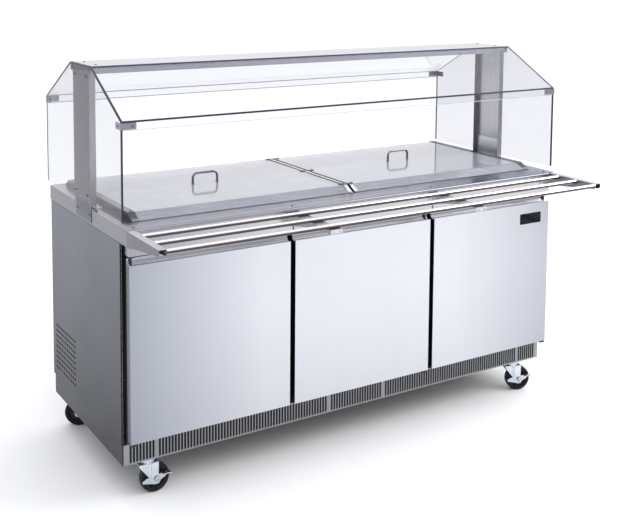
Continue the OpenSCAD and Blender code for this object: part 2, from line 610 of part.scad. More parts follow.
// end outline: the cover outline grown by g, with upright feet
module lid_rim(g, zb) polygon([[ly0 - lr - g, zb], [ly0 - lr - g, zc + 2], [ly0 - g * 0.6, zl + g],
  [ly1 + g * 0.6, zl + g], [ly1 + lr * 0.75 + g, zc + 2], [ly1 + lr * 0.75 + g, zb]]);
module lid_band(xa, xb) xex(xa, xb) difference() {
  lid_rim(1.6, zc + 0.3);
  lid_rim(0.1, zc);
}
module lid_end(x0, x1, xa, xb) {
  xex(x0, x1) lid_rim(1.6, zc + 0.3);
  lid_band(xa, xb);
}
module lid_end_plates(s) color(steel) put() mirror([s < 0 ? 1 : 0, 0, 0]) {
  difference() {
    union() {
      // band at the middle of the counter, wider on the left lid, with three screw tabs
      lid_end(lx0, lx0 + 1.5, lx0 + 1, lx0 + (s < 0 ? 17 : 4.5));
      intersection() {
        lid_band(lx0 + 4, lx0 + 27);
        for (y = [ly0 + 14, well_y + 1, ly1 - 14]) bx([lx0, y - 8, zl - 1], [lx0 + 30, y + 8, zl + 5]);
      }
      lid_end(lx1 - 1.5, lx1, lx1 - 26, lx1 - 1);
    }
    for (x = [lx0 + 20, lx1 - 18], y = [ly0 + 14, well_y + 1, ly1 - 14]) cylz(2.2, zl - 10, zl + 3, x, y);
  }
  for (x = [lx0 + 20, lx1 - 18], y = [ly0 + 14, well_y + 1, ly1 - 14])
    translate([x, y, zl + 1.6]) dome(5, 2.6, 2.1, 5.5);
}
wr = 4.25; br = 17;
module lid_handle(s) color(steel) put() mirror([s < 0 ? 1 : 0, 0, 0]) translate([446, well_y + 1, zl]) {
  for (m = [0, 1]) mirror([m, 0, 0]) {
    cylz(wr, -8, bow_h - br - wr + 0.01, 50, 0);
    translate([50 - br, 0, bow_h - br - wr]) rotate([90, 0, 0])
      rotate_extrude(angle = 90) translate([br, 0]) circle(wr);
    translate([50, 0, 0.05]) difference() { cylinder(r = 8, h = 1.6); translate([0, 0, -1]) cylinder(r = 4.2, h = 4); }
    translate([50, 0, -8]) cylinder(r = 6.5, h = 2.7);
  }
  cylx(wr, -50 + br - 0.01, 50 - br + 0.01, 0, bow_h - wr);
}
module lid_left_cover() lid_cover(-1);
module lid_left_end_plates() lid_end_plates(-1);
module lid_left_handle() lid_handle(-1);
module lid_right_cover() lid_cover(1);
module lid_right_end_plates() lid_end_plates(1);
module lid_right_handle() lid_handle(1);

// ---- casters -------------------------------------------------------------
// swivel axis and heading of each caster: front left, front right, rear left, rear right
cst = [[-820, -280, 0], [816, -280, -19], [-824, 322, 148], [816, 322, -12]];
module at_caster(i) translate([cst[i][0], cst[i][1], 0]) children();
module caster_plates() color(zinc) put() for (i = [0:3]) at_caster(i) {
  difference() {
    translate([0, 0, B - 3]) linear_extrude(3 - eps) rrect(92, 66, 6);
    for (x = [-36, 36], y = [-23, 23]) cylz(4.2, B - 5, B + 1, x, y);
  }
  difference() {
    union() { cylz(27, B - 18, B - 2.9, 0, 0); }
    translate([0, 0, B - 18 - eps]) cylinder(r = 23, h = 5);
  }
  cylz(6, B - 32, B - 10, 0, 0);
  cylz(9.5, B - 30.5, B - 27.5, 0, 0);
}
module caster_fork(i) color(zinc) put() at_caster(i) rotate([0, 0, cst[i][2]]) {
  difference() {
    union() {
      bx([-36, -21, B - 27], [34, 21, B - 24]);
      cylz(22, B - 24.1, B - 18.4, 0, 0);
    }
    cylz(6.08, B - 40, B, 0, 0);
  }
  difference() {
    for (s = [-1, 1]) translate([0, s * 19.8 + 1.25, 0]) rotate([90, 0, 0]) linear_extrude(2.5)
      polygon([[-36, B - 24], [34, B - 24], [34, wheel_r - 9], [30, wheel_r - 14], [6, wheel_r - 14],
        [1, wheel_r - 10], [-2, wheel_r + 5], [-4, wheel_r + 11], [-34, wheel_r + 49]]);
    cyly(6.1, -30, 30, trail, wheel_r);
  }
  // axle bolt with its head and nut
  cyly(6, -31, 31, trail, wheel_r);
  cyly(10, 24.7, 30, trail, wheel_r);
  cyly(9, -31, -26.2, trail, wheel_r);
}
module caster_wheel(i) color(black) put() at_caster(i) rotate([0, 0, cst[i][2]])
  translate([trail, 0, wheel_r]) rotate([90, 0, 0]) rotate_extrude()
    polygon([[6.15, -17.5], [16, -17.5], [16, -9], [34, -7], [37, -wheel_w / 2 + 1], [46, -wheel_w / 2],
      [wheel_r - 1.5, -wheel_w / 2 + 2.5], [wheel_r, -wheel_w / 2 + 8], [wheel_r, wheel_w / 2 - 8],
      [wheel_r - 1.5, wheel_w / 2 - 2.5], [46, wheel_w / 2], [37, wheel_w / 2 - 1], [34, 7], [16, 9],
      [16, 17.5], [6.15, 17.5]]);
// pedal plate beside the wheel, with its tread
module caster_brake(i) color(zinc) put() at_caster(i) rotate([0, 0, cst[i][2]]) difference() {
  union() {
    translate([0, -21.8, wheel_r]) rotate([90, 0, 0]) linear_extrude(2.4)
      polygon([[-26, -1], [-24, -8], [-1, -13], [20, -18.5], [32, -18], [40, -6.5], [54, 0], [64, 11],
        [61, 17.5], [37, 14.5], [20, 13], [4, 6], [-8, 9], [-22, 2]]);
    bx([42, -38, wheel_r + 14.6], [74, -22, wheel_r + 17]);
  }
  cyly(6.1, -40, 0, trail, wheel_r);
}
module caster_fork_fl() caster_fork(0);
module caster_fork_fr() caster_fork(1);
module caster_fork_rl() caster_fork(2);
module caster_fork_rr() caster_fork(3);
module caster_wheel_fl() caster_wheel(0);
module caster_wheel_fr() caster_wheel(1);
module caster_wheel_rl() caster_wheel(2);
module caster_wheel_rr() caster_wheel(3);
module caster_brake_fl() caster_brake(0);
module caster_brake_fr() caster_brake(1);

side_panel_left();
side_panel_right();
back_panel();
base_frame();
kick_grille();
front_fascia();
insulated_body();
counter_top();
pan_well_frame();
pan_divider_bars();
food_pan_1();
food_pan_2();
food_pan_3();
food_pan_4();
food_pan_5();
compressor();
condenser();
condenser_fan();
evaporator_coil();
refrigerant_lines();
temperature_controller();
cord_gland();
wire_shelves();
left_door_skin();
left_door_core();
left_door_gasket();
middle_door_skin();
middle_door_core();
middle_door_gasket();
right_door_skin();
right_door_core();
right_door_gasket();
hinge_brackets();
door_badge();
guard_posts();
top_shelf();
side_pane_left();
side_pane_right();
guard_panels();
corner_clips();
dome_screws();
tray_supports();
tray_tubes();
lid_left_cover();
lid_left_end_plates();
lid_left_handle();
lid_right_cover();
lid_right_end_plates();
lid_right_handle();
caster_plates();
caster_fork_fl();
caster_fork_fr();
caster_fork_rl();
caster_fork_rr();
caster_wheel_fl();
caster_wheel_fr();
caster_wheel_rl();
caster_wheel_rr();
caster_brake_fl();
caster_brake_fr();
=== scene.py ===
import json
import math
import random

import bmesh
import bpy
from mathutils import Matrix, Vector


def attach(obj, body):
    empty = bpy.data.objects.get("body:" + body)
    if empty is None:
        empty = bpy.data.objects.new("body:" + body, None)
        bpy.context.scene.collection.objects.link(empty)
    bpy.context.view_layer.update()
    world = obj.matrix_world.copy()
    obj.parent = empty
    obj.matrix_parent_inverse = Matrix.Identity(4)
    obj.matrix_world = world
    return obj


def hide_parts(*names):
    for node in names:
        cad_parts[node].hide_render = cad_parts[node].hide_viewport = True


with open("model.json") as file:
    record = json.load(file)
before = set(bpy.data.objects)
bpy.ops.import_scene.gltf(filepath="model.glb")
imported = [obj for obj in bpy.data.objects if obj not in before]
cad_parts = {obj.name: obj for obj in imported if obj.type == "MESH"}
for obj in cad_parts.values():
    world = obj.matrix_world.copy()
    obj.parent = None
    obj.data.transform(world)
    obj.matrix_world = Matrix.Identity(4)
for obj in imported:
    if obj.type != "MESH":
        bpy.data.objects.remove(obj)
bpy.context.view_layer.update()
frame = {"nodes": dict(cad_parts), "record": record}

NODES = frame["nodes"]
REC = frame["record"]
BODY = {n: b for b, ns in REC["behaviour"]["bodies"].items() for n in ns}
SLOT = {s["node"]: s["material_slot"] for s in REC["subparts"]}
scene = bpy.context.scene
random.seed(7)

# ---------------------------------------------------------------- camera
# fitted to the photograph, in the frame of the part
YAW, PITCH, ROLL = 0.5576715, -0.0928144, 0.0074869
F_PX, CX, CY = 1027.9664, 315.1662, 58.5213
CAM = Vector((-2.1021311, -3.2594252, 1.7785404))


def make_camera():
    fwd = Vector((math.sin(YAW) * math.cos(PITCH), math.cos(YAW) * math.cos(PITCH), math.sin(PITCH)))
    right = Vector((math.cos(YAW), -math.sin(YAW), 0))
    up = right.cross(fwd)
    r = right * math.cos(ROLL) + up * math.sin(ROLL)
    u = -right * math.sin(ROLL) + up * math.cos(ROLL)
    m = Matrix.Identity(4)
    for i in range(3):
        m[i][0], m[i][1], m[i][2], m[i][3] = r[i], u[i], -fwd[i], CAM[i]
    data = bpy.data.cameras.new("cam")
    data.sensor_fit = "HORIZONTAL"
    data.sensor_width = 36.0
    data.lens = F_PX / 630 * 36.0
    data.shift_x = (315 - CX) / 630
    data.shift_y = (CY - 262.5) / 630
    data.clip_start, data.clip_end = 0.05, 100
    data.dof.use_dof = False
    cam = bpy.data.objects.new("cam", data)
    scene.collection.objects.link(cam)
    cam.matrix_world = m
    scene.camera = cam


make_camera()


# ---------------------------------------------------------------- materials
class Tree:
    """A short way to build a node material."""

    def __init__(self, name):
        self.mat = bpy.data.materials.new(name)
        self.mat.use_nodes = True
        self.nt = self.mat.node_tree
        self.nt.nodes.clear()
        self.out = self.nt.nodes.new("ShaderNodeOutputMaterial")

    def n(self, kind, props=None, **inputs):
        node = self.nt.nodes.new("ShaderNode" + kind)
        for k, v in (props or {}).items():
            setattr(node, k, v)
        for k, v in inputs.items():
            self.put(node, k, v)
        return node

    def put(self, node, key, v):
        sock = node.inputs[int(key[1:])] if key[0] == "i" and key[1:].isdigit() else node.inputs[key.replace("_", " ")]
        if isinstance(v, bpy.types.NodeSocket):
            self.nt.links.new(v, sock)
        elif isinstance(v, bpy.types.Node):
            self.nt.links.new(v.outputs[0], sock)
        else:
            sock.default_value = v

    def coords(self):
        return self.n("TexCoord").outputs["Object"]

    def noise(self, vec, scale, stretch=(1, 1, 1), detail=2.0, rough=0.5, loc=(0, 0, 0)):
        m = self.n("Mapping", Vector=vec, Scale=stretch, Location=loc)
        return self.n("TexNoise", Vector=m.outputs[0], Scale=scale, Detail=detail, Roughness=rough).outputs["Fac"]

    def ramp(self, fac, stops, interp="LINEAR"):
        node = self.n("ValToRGB", i0=fac)
        cr = node.color_ramp
        cr.interpolation = interp
        while len(cr.elements) < len(stops):
            cr.elements.new(0.5)
        for e, (p, c) in zip(cr.elements, stops):
            e.position = p
            e.color = c if len(c) == 4 else (*c, 1)
        return node.outputs[0]

    def rng(self, v, a, b, c, d, clamp=True):
        return self.n("MapRange", {"clamp": clamp}, Value=v, i1=a, i2=b, i3=c, i4=d).outputs[0]

    def math(self, op, a, b=0.0, c=0.0):
        return self.n("Math", {"operation": op}, i0=a, i1=b, i2=c).outputs[0]

    def mix(self, fac, a, b, blend="MIX"):
        node = self.n("Mix", {"data_type": "RGBA", "blend_type": blend})
        for idx, v in ((0, fac), (6, a), (7, b)):
            if isinstance(v, bpy.types.NodeSocket):
                self.nt.links.new(v, node.inputs[idx])
            else:
                node.inputs[idx].default_value = v if idx == 0 or len(v) == 4 else (*v, 1)
        return node.outputs[2]

    def bump(self, height, dist, strength=1.0, normal=None):
        node = self.n("Bump", Height=height, Distance=dist, Strength=strength)
        if normal is not None:
            self.nt.links.new(normal, node.inputs["Normal"])
        return node.outputs[0]

    def principled(self, **kw):
        p = self.n("BsdfPrincipled", **kw)
        self.nt.links.new(p.outputs[0], self.out.inputs[0])
        return p


def g(v, a=1.0):
    return (v[0], v[1], v[2], a)


def under_shade(t, col, low, z0=-0.15, z1=0.45):
    """Painted shade under things: the colour falls off on faces that look down."""
    nz = t.n("SeparateXYZ", Vector=t.n("NewGeometry").outputs["Normal"]).outputs[2]
    return t.mix(t.rng(nz, z0, z1, 1.0, 0.0), col, g(low), "MULTIPLY")


def steel(name, base, rough=(0.26, 0.38), axis="Z", grain=1.0, aniso=0.0, edge=1.0, tint=0.06, painted_fade_z=None, side=None,
          underside_shade=None):
    """Brushed stainless sheet: long fine grain along one axis, soft smudges, brighter worn edges, and painted shade
    from optional ramps along Z or X and on faces that look down.
    """
    t = Tree(name)
    co = t.coords()
    s = {"X": (0.012, 1, 1), "Y": (1, 0.012, 1), "Z": (1, 1, 0.012)}[axis]
    fine = t.noise(co, 1500, s, 3.0, 0.65)
    mid = t.noise(co, 210, s, 3.0, 0.6, (3.1, 1.7, 0.4))
    wide = t.noise(co, 28, s, 2.0, 0.5, (7.3, 2.1, 5.2))
    smudge = t.noise(co, 3.1, (1, 1, 1), 4.0, 0.55, (1.3, 8.1, 2.2))
    grainy = t.math("ADD", t.math("MULTIPLY", fine, 0.55), t.math("MULTIPLY", mid, 0.45))
    lo = tuple(c * (1 - tint * grain) for c in base)
    hi = tuple(min(1, c * (1 + tint * grain)) for c in base)
    col = t.mix(t.rng(grainy, 0.32, 0.68, 0, 1), g(lo), g(hi))
    col = t.mix(t.rng(wide, 0.35, 0.65, 0, 0.10), col, g(tuple(c * 0.93 for c in base)))
    col = t.mix(t.rng(smudge, 0.45, 0.75, 0, 0.12), col, g(tuple(c * 0.86 for c in base)))
    point = t.n("NewGeometry").outputs["Pointiness"]
    worn = t.rng(point, 0.515, 0.56, 0, 0.5 * edge)
    col = t.mix(worn, col, g(tuple(min(1, c * 1.18 + 0.03) for c in base)))
    # painted shade: a ramp along Z or X multiplies the colour towards a darker tint, standing in for light falling off
    # across the sheet
    if painted_fade_z or side:
        xyz = t.n("SeparateXYZ", Vector=co)
        for spec, k in ((painted_fade_z, 2), (side, 0)):
            if spec:
                col = t.mix(t.rng(xyz.outputs[k], spec[0], spec[1], 1.0, 0.0), col, g(spec[2]), "MULTIPLY")
    # painted shade: darker on faces that look down
    if underside_shade:
        col = under_shade(t, col, underside_shade)
    r = t.rng(t.math("ADD", t.math("MULTIPLY", grainy, 0.6), t.math("MULTIPLY", smudge, 0.4)), 0.36, 0.64, rough[0], rough[1])
    b = t.bump(grainy, 0.00006 * grain, 0.6)
    t.principled(Base_Color=col, Metallic=1.0, Roughness=r, Normal=b, Anisotropic=aniso)
    return t.mat


def polished(name, base, rough=(0.10, 0.2), streak=(1, 1, 1), bump=0.00003, underside_shade=None, band=(-0.15, 0.45)):
    """Polished or plated metal with fine scratches and soft dull spots."""
    t = Tree(name)
    co = t.coords()
    scr = t.noise(co, 900, streak, 3.0, 0.7)
    soft = t.noise(co, 22, (1, 1, 1), 3.0, 0.55, (2.2, 0.4, 6.1))
    col = t.mix(t.rng(scr, 0.35, 0.7, 0, 1), g(tuple(c * 0.95 for c in base)), g(base))
    col = t.mix(t.rng(soft, 0.5, 0.75, 0, 0.2), col, g(tuple(c * 0.8 for c in base)))
    # painted shade: darker on faces that look down
    if underside_shade:
        col = under_shade(t, col, underside_shade, *band)
    r = t.rng(t.math("ADD", t.math("MULTIPLY", scr, 0.5), t.math("MULTIPLY", soft, 0.5)), 0.35, 0.65, rough[0], rough[1])
    t.principled(Base_Color=col, Metallic=1.0, Roughness=r, Normal=t.bump(scr, bump, 0.6))
    return t.mat


def zinc(name, base):
    """Bright zinc plate: a faint crystalline mottling with a bluish cast."""
    t = Tree(name)
    co = t.coords()
    v = t.n("TexVoronoi", {"feature": "F1"}, Vector=co, Scale=260.0).outputs["Color"]
    vf = t.n("SeparateColor", Color=v).outputs[0]
    n1 = t.noise(co, 70, (1, 1, 1), 4.0, 0.6)
    col = t.mix(t.rng(vf, 0, 1, 0, 0.3), g(base), g((base[0] * 0.86, base[1] * 0.92, base[2] * 1.0)))
    col = t.mix(t.rng(n1, 0.5, 0.72, 0, 0.35), col, g(tuple(c * 0.72 for c in base)))
    point = t.n("NewGeometry").outputs["Pointiness"]
    col = t.mix(t.rng(point, 0.52, 0.6, 0, 0.6), col, g((0.86, 0.9, 0.95)))
    r = t.rng(t.math("ADD", t.math("MULTIPLY", vf, 0.3), t.math("MULTIPLY", n1, 0.7)), 0.3, 0.7, 0.2, 0.42)
    t.principled(Base_Color=col, Metallic=1.0, Roughness=r, Normal=t.bump(n1, 0.00012, 0.5))
    return t.mat


def plastic(name, base, rough=(0.35, 0.5), grain=900, depth=0.00005, spec=0.5, mott=0.1, dust=0.0):
    """Moulded or coated plastic with a fine texture and a little wear."""
    t = Tree(name)
    co = t.coords()
    f = t.noise(co, grain, (1, 1, 1), 2.0, 0.6)
    w = t.noise(co, 14, (1, 1, 1), 4.0, 0.6, (4.4, 2.1, 0.3))
    col = t.mix(t.rng(w, 0.35, 0.7, 0, 1), g(tuple(c * (1 - mott) for c in base)), g(tuple(min(1, c * (1 + mott)) for c in base)))
    if dust:
        col = t.mix(t.rng(w, 0.5, 0.8, 0, dust), col, g((0.35, 0.34, 0.33)))
    point = t.n("NewGeometry").outputs["Pointiness"]
    col = t.mix(t.rng(point, 0.52, 0.6, 0, 0.25), col, g(tuple(min(1, c * 1.3 + 0.04) for c in base)))
    r = t.rng(t.math("ADD", t.math("MULTIPLY", f, 0.4), t.math("MULTIPLY", w, 0.6)), 0.35, 0.65, rough[0], rough[1])
    p = t.principled(Base_Color=col, Metallic=0.0, Roughness=r, Normal=t.bump(f, depth, 0.5))
    p.inputs["Specular IOR Level"].default_value = spec
    return t.mat


def clear(name, tint, rough=0.0, ior=1.49, haze=0.02):
    """Clear sheet that lets lamp light through; faint smears vary its gloss."""
    t = Tree(name)
    co = t.coords()
    sm = t.noise(co, 9, (1, 1, 0.4), 4.0, 0.6)
    r = t.rng(sm, 0.4, 0.75, rough, rough + haze)
    p = t.n("BsdfPrincipled", Base_Color=g(tint), Roughness=r, IOR=ior)
    p.inputs["Transmission Weight"].default_value = 1.0
    tr = t.n("BsdfTransparent", Color=g(tint))
    lp = t.n("LightPath")
    mx = t.n("MixShader", i0=lp.outputs["Is Shadow Ray"], i1=p.outputs[0], i2=tr.outputs[0])
    t.nt.links.new(mx.outputs[0], t.out.inputs[0])
    return t.mat


def hazy(name, tint, veil, amount=0.34):
    """Clear moulded sheet with a milky veil, as stock acrylic looks over steel."""
    t = Tree(name)
    co = t.coords()
    sm = t.noise(co, 7, (1, 1, 0.4), 4.0, 0.6)
    p = t.n("BsdfPrincipled", Base_Color=g(tint), Roughness=t.rng(sm, 0.4, 0.75, 0.04, 0.10), IOR=1.5)
    p.inputs["Transmission Weight"].default_value = 1.0
    tr = t.n("BsdfTransparent", Color=g(tuple(c * 0.94 for c in tint)))
    lp = t.n("LightPath")
    mx = t.n("MixShader", i0=lp.outputs["Is Shadow Ray"], i1=p.outputs[0], i2=tr.outputs[0])
    milk = t.n("BsdfPrincipled", Base_Color=g(veil), Roughness=t.rng(sm, 0.4, 0.75, 0.10, 0.16))
    m2 = t.n("MixShader", i0=t.rng(sm, 0.3, 0.7, amount * 0.92, amount * 1.08), i1=mx.outputs[0], i2=milk.outputs[0])
    t.nt.links.new(m2.outputs[0], t.out.inputs[0])
    return t.mat


M = {
    # Painted shade: the panel and seam steels are dark and fade darker towards the bottom, standing in for the dark
    # floor and room these sheets reflect.
    "panel": steel("m_panel_steel", (0.120, 0.129, 0.152), (0.27, 0.37), "Z", painted_fade_z=(0.12, 0.92, (0.06, 0.075, 0.12))),
    "seam": steel("m_panel_seam", (0.085, 0.090, 0.106), (0.27, 0.37), "Y", painted_fade_z=(0.12, 0.92, (0.06, 0.075, 0.12))),
    "door": steel("m_door_steel", (0.515, 0.525, 0.555), (0.28, 0.38), "Z"),
    # Painted shade: the left door darkens towards the left end and the right door towards the right end, standing in
    # for light falling off across the front.
    "door_left": steel("m_door_steel_l", (0.515, 0.525, 0.555), (0.28, 0.38), "Z", side=(-0.93, -0.42, (0.52, 0.54, 0.59))),
    "door_right": steel("m_door_steel_r", (0.515, 0.525, 0.555), (0.28, 0.38), "Z", side=(0.93, 0.42, (0.66, 0.665, 0.69))),
    # Painted light and shade: the cove steels, door_edge and side are darker and lighter copies of the door steel for
    # the finger channel and the door side faces; door_lip is a bright satin painted highlight on the lip's top.
    "cove": steel("m_door_cove", (0.27, 0.268, 0.303), (0.22, 0.30), "X"),
    "cove_low": steel("m_door_cove_low", (0.30, 0.304, 0.342), (0.34, 0.44), "X"),
    "door_lip": plastic("m_door_lip_painted_highlight", (0.88, 0.89, 0.92), (0.35, 0.45), 500, 0.00002, 0.6, 0.03),
    "cove_bot": steel("m_door_cove_bot", (0.80, 0.81, 0.86), (0.50, 0.62), "X"),
    "door_edge": steel("m_door_edge", (0.105, 0.108, 0.118), (0.24, 0.34), "Z"),
    "side": steel("m_door_side", (0.20, 0.205, 0.22), (0.22, 0.32), "Z"),
    # Painted shade: the front rail darkens towards the left end.
    "front": steel("m_front_steel", (0.40, 0.39, 0.415), (0.20, 0.30), "X", 1.3, side=(-0.93, -0.40, (0.62, 0.62, 0.66))),
    "grille": steel("m_grille_steel", (0.255, 0.26, 0.275), (0.28, 0.40), "X"),
    # Painted shade: the counter darkens towards the right end, and its end faces take the darker band steel.
    "counter": steel("m_counter_steel", (0.280, 0.283, 0.320), (0.20, 0.30), "X", 1.2, side=(0.95, -0.1, (0.60, 0.63, 0.70))),
    "band": steel("m_band_steel", (0.185, 0.189, 0.208), (0.28, 0.38), "Y"),
    "pan": steel("m_pan_steel", (0.78, 0.785, 0.80), (0.30, 0.44), "Y", 0.5),
    # Painted light and shade: dark, light and bright copies of one post steel, dark on the outward faces, lighter
    # inside and on the flanges, bright on the feet.
    "guard": steel("m_guard_steel", (0.084, 0.0825, 0.107), (0.27, 0.36), "Z"),
    "guard_in": steel("m_guard_steel_in", (0.44, 0.435, 0.475), (0.24, 0.34), "Z"),
    "guard_fl": steel("m_guard_steel_fl", (0.23, 0.228, 0.25), (0.24, 0.34), "Z"),
    "guard_foot": steel("m_guard_steel_foot", (0.80, 0.80, 0.85), (0.30, 0.40), "Z"),
    "clip": steel("m_clip_steel", (0.20, 0.20, 0.235), (0.2, 0.3), "X"),
    # Painted light and shade: lighter copies of the arm steel on the tops and inward faces, and the arm darkens on
    # faces that look down.
    "arm_top": steel("m_arm_top", (0.50, 0.50, 0.55), (0.28, 0.38), "Y"),
    "arm": steel("m_arm_steel", (0.285, 0.290, 0.325), (0.28, 0.38), "Y", underside_shade=(0.35, 0.34, 0.34)),
    "arm_in": steel("m_arm_steel_in", (0.36, 0.36, 0.39), (0.28, 0.38), "Y"),
    "bracket": steel("m_bracket_steel", (0.55, 0.54, 0.57), (0.40, 0.50), "Y"),
    # Painted light and shade: the shelf top is a lighter copy, its lip and other faces a darker copy of one steel.
    "shelf": steel("m_shelf_steel", (0.52, 0.525, 0.570), (0.24, 0.34), "X"),
    "shelf_lip": steel("m_shelf_lip_steel", (0.30, 0.30, 0.35), (0.24, 0.34), "X"),
    # Painted light and shade: light, bright and dark copies of one end-plate steel, the dark one for the shade lines
    # along the seams, the light one a painted light strip, the bright one a painted highlight on the front slope.
    "lid_band": steel("m_lid_band_steel", (0.60, 0.60, 0.63), (0.20, 0.30), "Y"),
    "lid_slope": steel("m_lid_slope_painted_highlight", (0.96, 0.96, 0.98), (0.24, 0.34), "Y"),
    "lidend": steel("m_lid_end_steel", (0.10, 0.10, 0.118), (0.20, 0.30), "Y"),
    # painted shade: the tube and the bow handle darken on faces that look down
    "tube": polished("m_tube_steel", (0.80, 0.79, 0.80), (0.10, 0.18), (0.02, 1, 1), underside_shade=(0.10, 0.08, 0.07), band=(0.08, 0.46)),
    "bow": polished("m_bow_steel", (0.36, 0.36, 0.39), (0.12, 0.22), underside_shade=(0.25, 0.24, 0.25)),
    "screw": polished("m_screw_steel", (0.13, 0.13, 0.15), (0.12, 0.20)),
    "recess": plastic("m_screw_recess", (0.06, 0.06, 0.07), (0.4, 0.5)),
    "glass": clear("m_guard_clear", (0.87, 0.873, 0.890), 0.0, 1.20),
    "pane": clear("m_pane_clear", (0.74, 0.745, 0.765), 0.0, 1.18),
    # Painted reflection: opaque blues, dark to light, painted on the clear sheets' cut edges and bends for how they
    # look in light.
    "edge": plastic("m_guard_edge", (0.016, 0.018, 0.042), (0.12, 0.22), 500, 0.00002, 0.15, 0.15),
    "edge_mid": plastic("m_guard_edge_mid", (0.11, 0.12, 0.18), (0.12, 0.22), 500, 0.00002, 0.3, 0.12),
    "edge_soft": plastic("m_guard_edge_soft", (0.42, 0.43, 0.50), (0.12, 0.22), 500, 0.00002, 0.6, 0.1),
    "lid_edge": plastic("m_lid_edge", (0.20, 0.21, 0.28), (0.12, 0.22), 500, 0.00002, 0.6, 0.12),
    "lid": hazy("m_lid_clear", (0.955, 0.96, 0.98), (0.58, 0.59, 0.65), 0.30),
    "liner": plastic("m_liner", (0.78, 0.79, 0.80), (0.32, 0.46), 700, 0.00006, 0.5, 0.03),
    "galv": zinc("m_galvanised", (0.30, 0.31, 0.33)),
    # Painted shade: near black with a little dust, put on faces that lie in shade: air-hole walls, base frame, grille
    # slots and backing, the body low at the rear, arm channels and the condenser end.
    "dark": plastic("m_painted_shade_black", (0.010, 0.010, 0.012), (0.6, 0.75), 300, 0.0001, 0.1, 0.2, 0.02),
    # Black rubber for the real gaskets; also painted shade on the strip under the counter band, the side panels' front
    # edges, the body's front face, the rear of the door skins and the front of the door cores.
    "gasket": plastic("m_gasket_and_painted_shade", (0.005, 0.005, 0.006), (0.5, 0.65), 1200, 0.00005, 0.05, 0.2),
    "hinge": polished("m_hinge_steel", (0.05, 0.05, 0.056), (0.3, 0.45)),
    "badge": plastic("m_badge", (0.004, 0.0045, 0.007), (0.22, 0.30), 600, 0.00002, 0.04, 0.2),
    "comp": plastic("m_compressor", (0.02, 0.02, 0.022), (0.2, 0.34), 300, 0.00012, 0.5, 0.2, 0.25),
    "fins": steel("m_fins", (0.66, 0.67, 0.69), (0.3, 0.45), "Z", 0.6),
    "black": plastic("m_black_plastic", (0.02, 0.02, 0.022), (0.4, 0.55), 900, 0.00008, 0.5, 0.2, 0.15),
    "copper": polished("m_copper", (0.78, 0.42, 0.28), (0.22, 0.38)),
    "wire": plastic("m_shelf_wire", (0.68, 0.69, 0.70), (0.25, 0.36), 500, 0.00004, 0.5, 0.05),
    "zinc": zinc("m_zinc", (0.56, 0.60, 0.66)),
    "bolt": polished("m_bolt_steel", (0.50, 0.50, 0.52), (0.14, 0.24)),
    "tyre": plastic("m_wheel", (0.007, 0.007, 0.009), (0.30, 0.44), 700, 0.00010, 0.18, 0.3, 0.02),
    "hub": plastic("m_hub", (0.012, 0.012, 0.015), (0.26, 0.38), 700, 0.00006, 0.25, 0.3, 0.03),
}
SLOT_MAT = {
    "panel_steel": "panel", "door_steel": "door", "front_steel": "front", "counter_steel": "counter",
    "pan_steel": "pan", "guard_steel": "guard", "polished_steel": "tube", "screw_steel": "screw",
    "clear_guard": "glass", "clear_lid": "lid", "liner": "liner", "gasket": "gasket", "hinge_steel": "hinge",
    "badge": "badge", "compressor_black": "comp", "coil_aluminium": "fins", "black_plastic": "black",
    "copper": "copper", "shelf_wire": "wire", "zinc": "zinc", "wheel": "tyre",
}


# ---------------------------------------------------------------- meshes
def finish_piece(bm, name, body, mats, nodes=(), smooth=40.0, weighted=True):
    """Turns a bmesh into a piece that rides on its body and stands for its CAD nodes."""
    bmesh.ops.recalc_face_normals(bm, faces=bm.faces)
    me = bpy.data.meshes.new(name)
    lim = math.radians(smooth)
    for f in bm.faces:
        f.smooth = True
    for e in bm.edges:
        if e.is_manifold:
            e.smooth = e.calc_face_angle(0.0) < lim
    bm.to_mesh(me)
    bm.free()
    for m in mats:
        me.materials.append(M[m] if isinstance(m, str) else m)
    ob = bpy.data.objects.new(name, me)
    scene.collection.objects.link(ob)
    if weighted:
        w = ob.modifiers.new("wn", "WEIGHTED_NORMAL")
        w.keep_sharp = True
        w.weight = 60
    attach(ob, body)
    if nodes:
        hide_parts(*nodes)
    return ob


def cad_bm(name, flat=0.4):
    bm = bmesh.new()
    bm.from_mesh(NODES[name].data)
    bmesh.ops.remove_doubles(bm, verts=bm.verts, dist=3e-6)
    bmesh.ops.dissolve_limit(bm, angle_limit=math.radians(flat), verts=bm.verts, edges=bm.edges)
    return bm


def soft_edges(bm, width, segs=2, angle=35.0, pick=None):
    es = [e for e in bm.edges if e.is_manifold and e.calc_face_angle(0.0) > math.radians(angle) and (pick is None or pick(e))]
    if es and width > 0:
        bmesh.ops.bevel(bm, geom=es, offset=width, offset_type="OFFSET", segments=segs, profile=0.7,
                        affect="EDGES", clamp_overlap=True)


def refine(name, mat=None, width=0.0005, segs=2, angle=35.0, pick=None, split=None, mats=None, smooth=40.0, cuts=(), inset=None):
    """A finer copy of a CAD node: same shape, with rounded edges and its own material."""
    bm = cad_bm(name)
    soft_edges(bm, width, segs, angle, pick)
    for co, no in cuts:
        bmesh.ops.bisect_plane(bm, geom=list(bm.verts) + list(bm.edges) + list(bm.faces), dist=1e-6, plane_co=co, plane_no=no)
    if inset:
        bm.normal_update()
        for s in (-1, 1):
            flat = [f for f in bm.faces if f.normal.x * s > 0.99]
            bmesh.ops.inset_region(bm, faces=flat, thickness=inset, use_even_offset=True, use_boundary=True)
    mats = mats or [mat or SLOT_MAT[SLOT[name]]]
    if split:
        bm.normal_update()
        for f in bm.faces:
            f.material_index = split(f)
    return finish_piece(bm, "v_" + name, BODY[name], mats, [name], smooth)


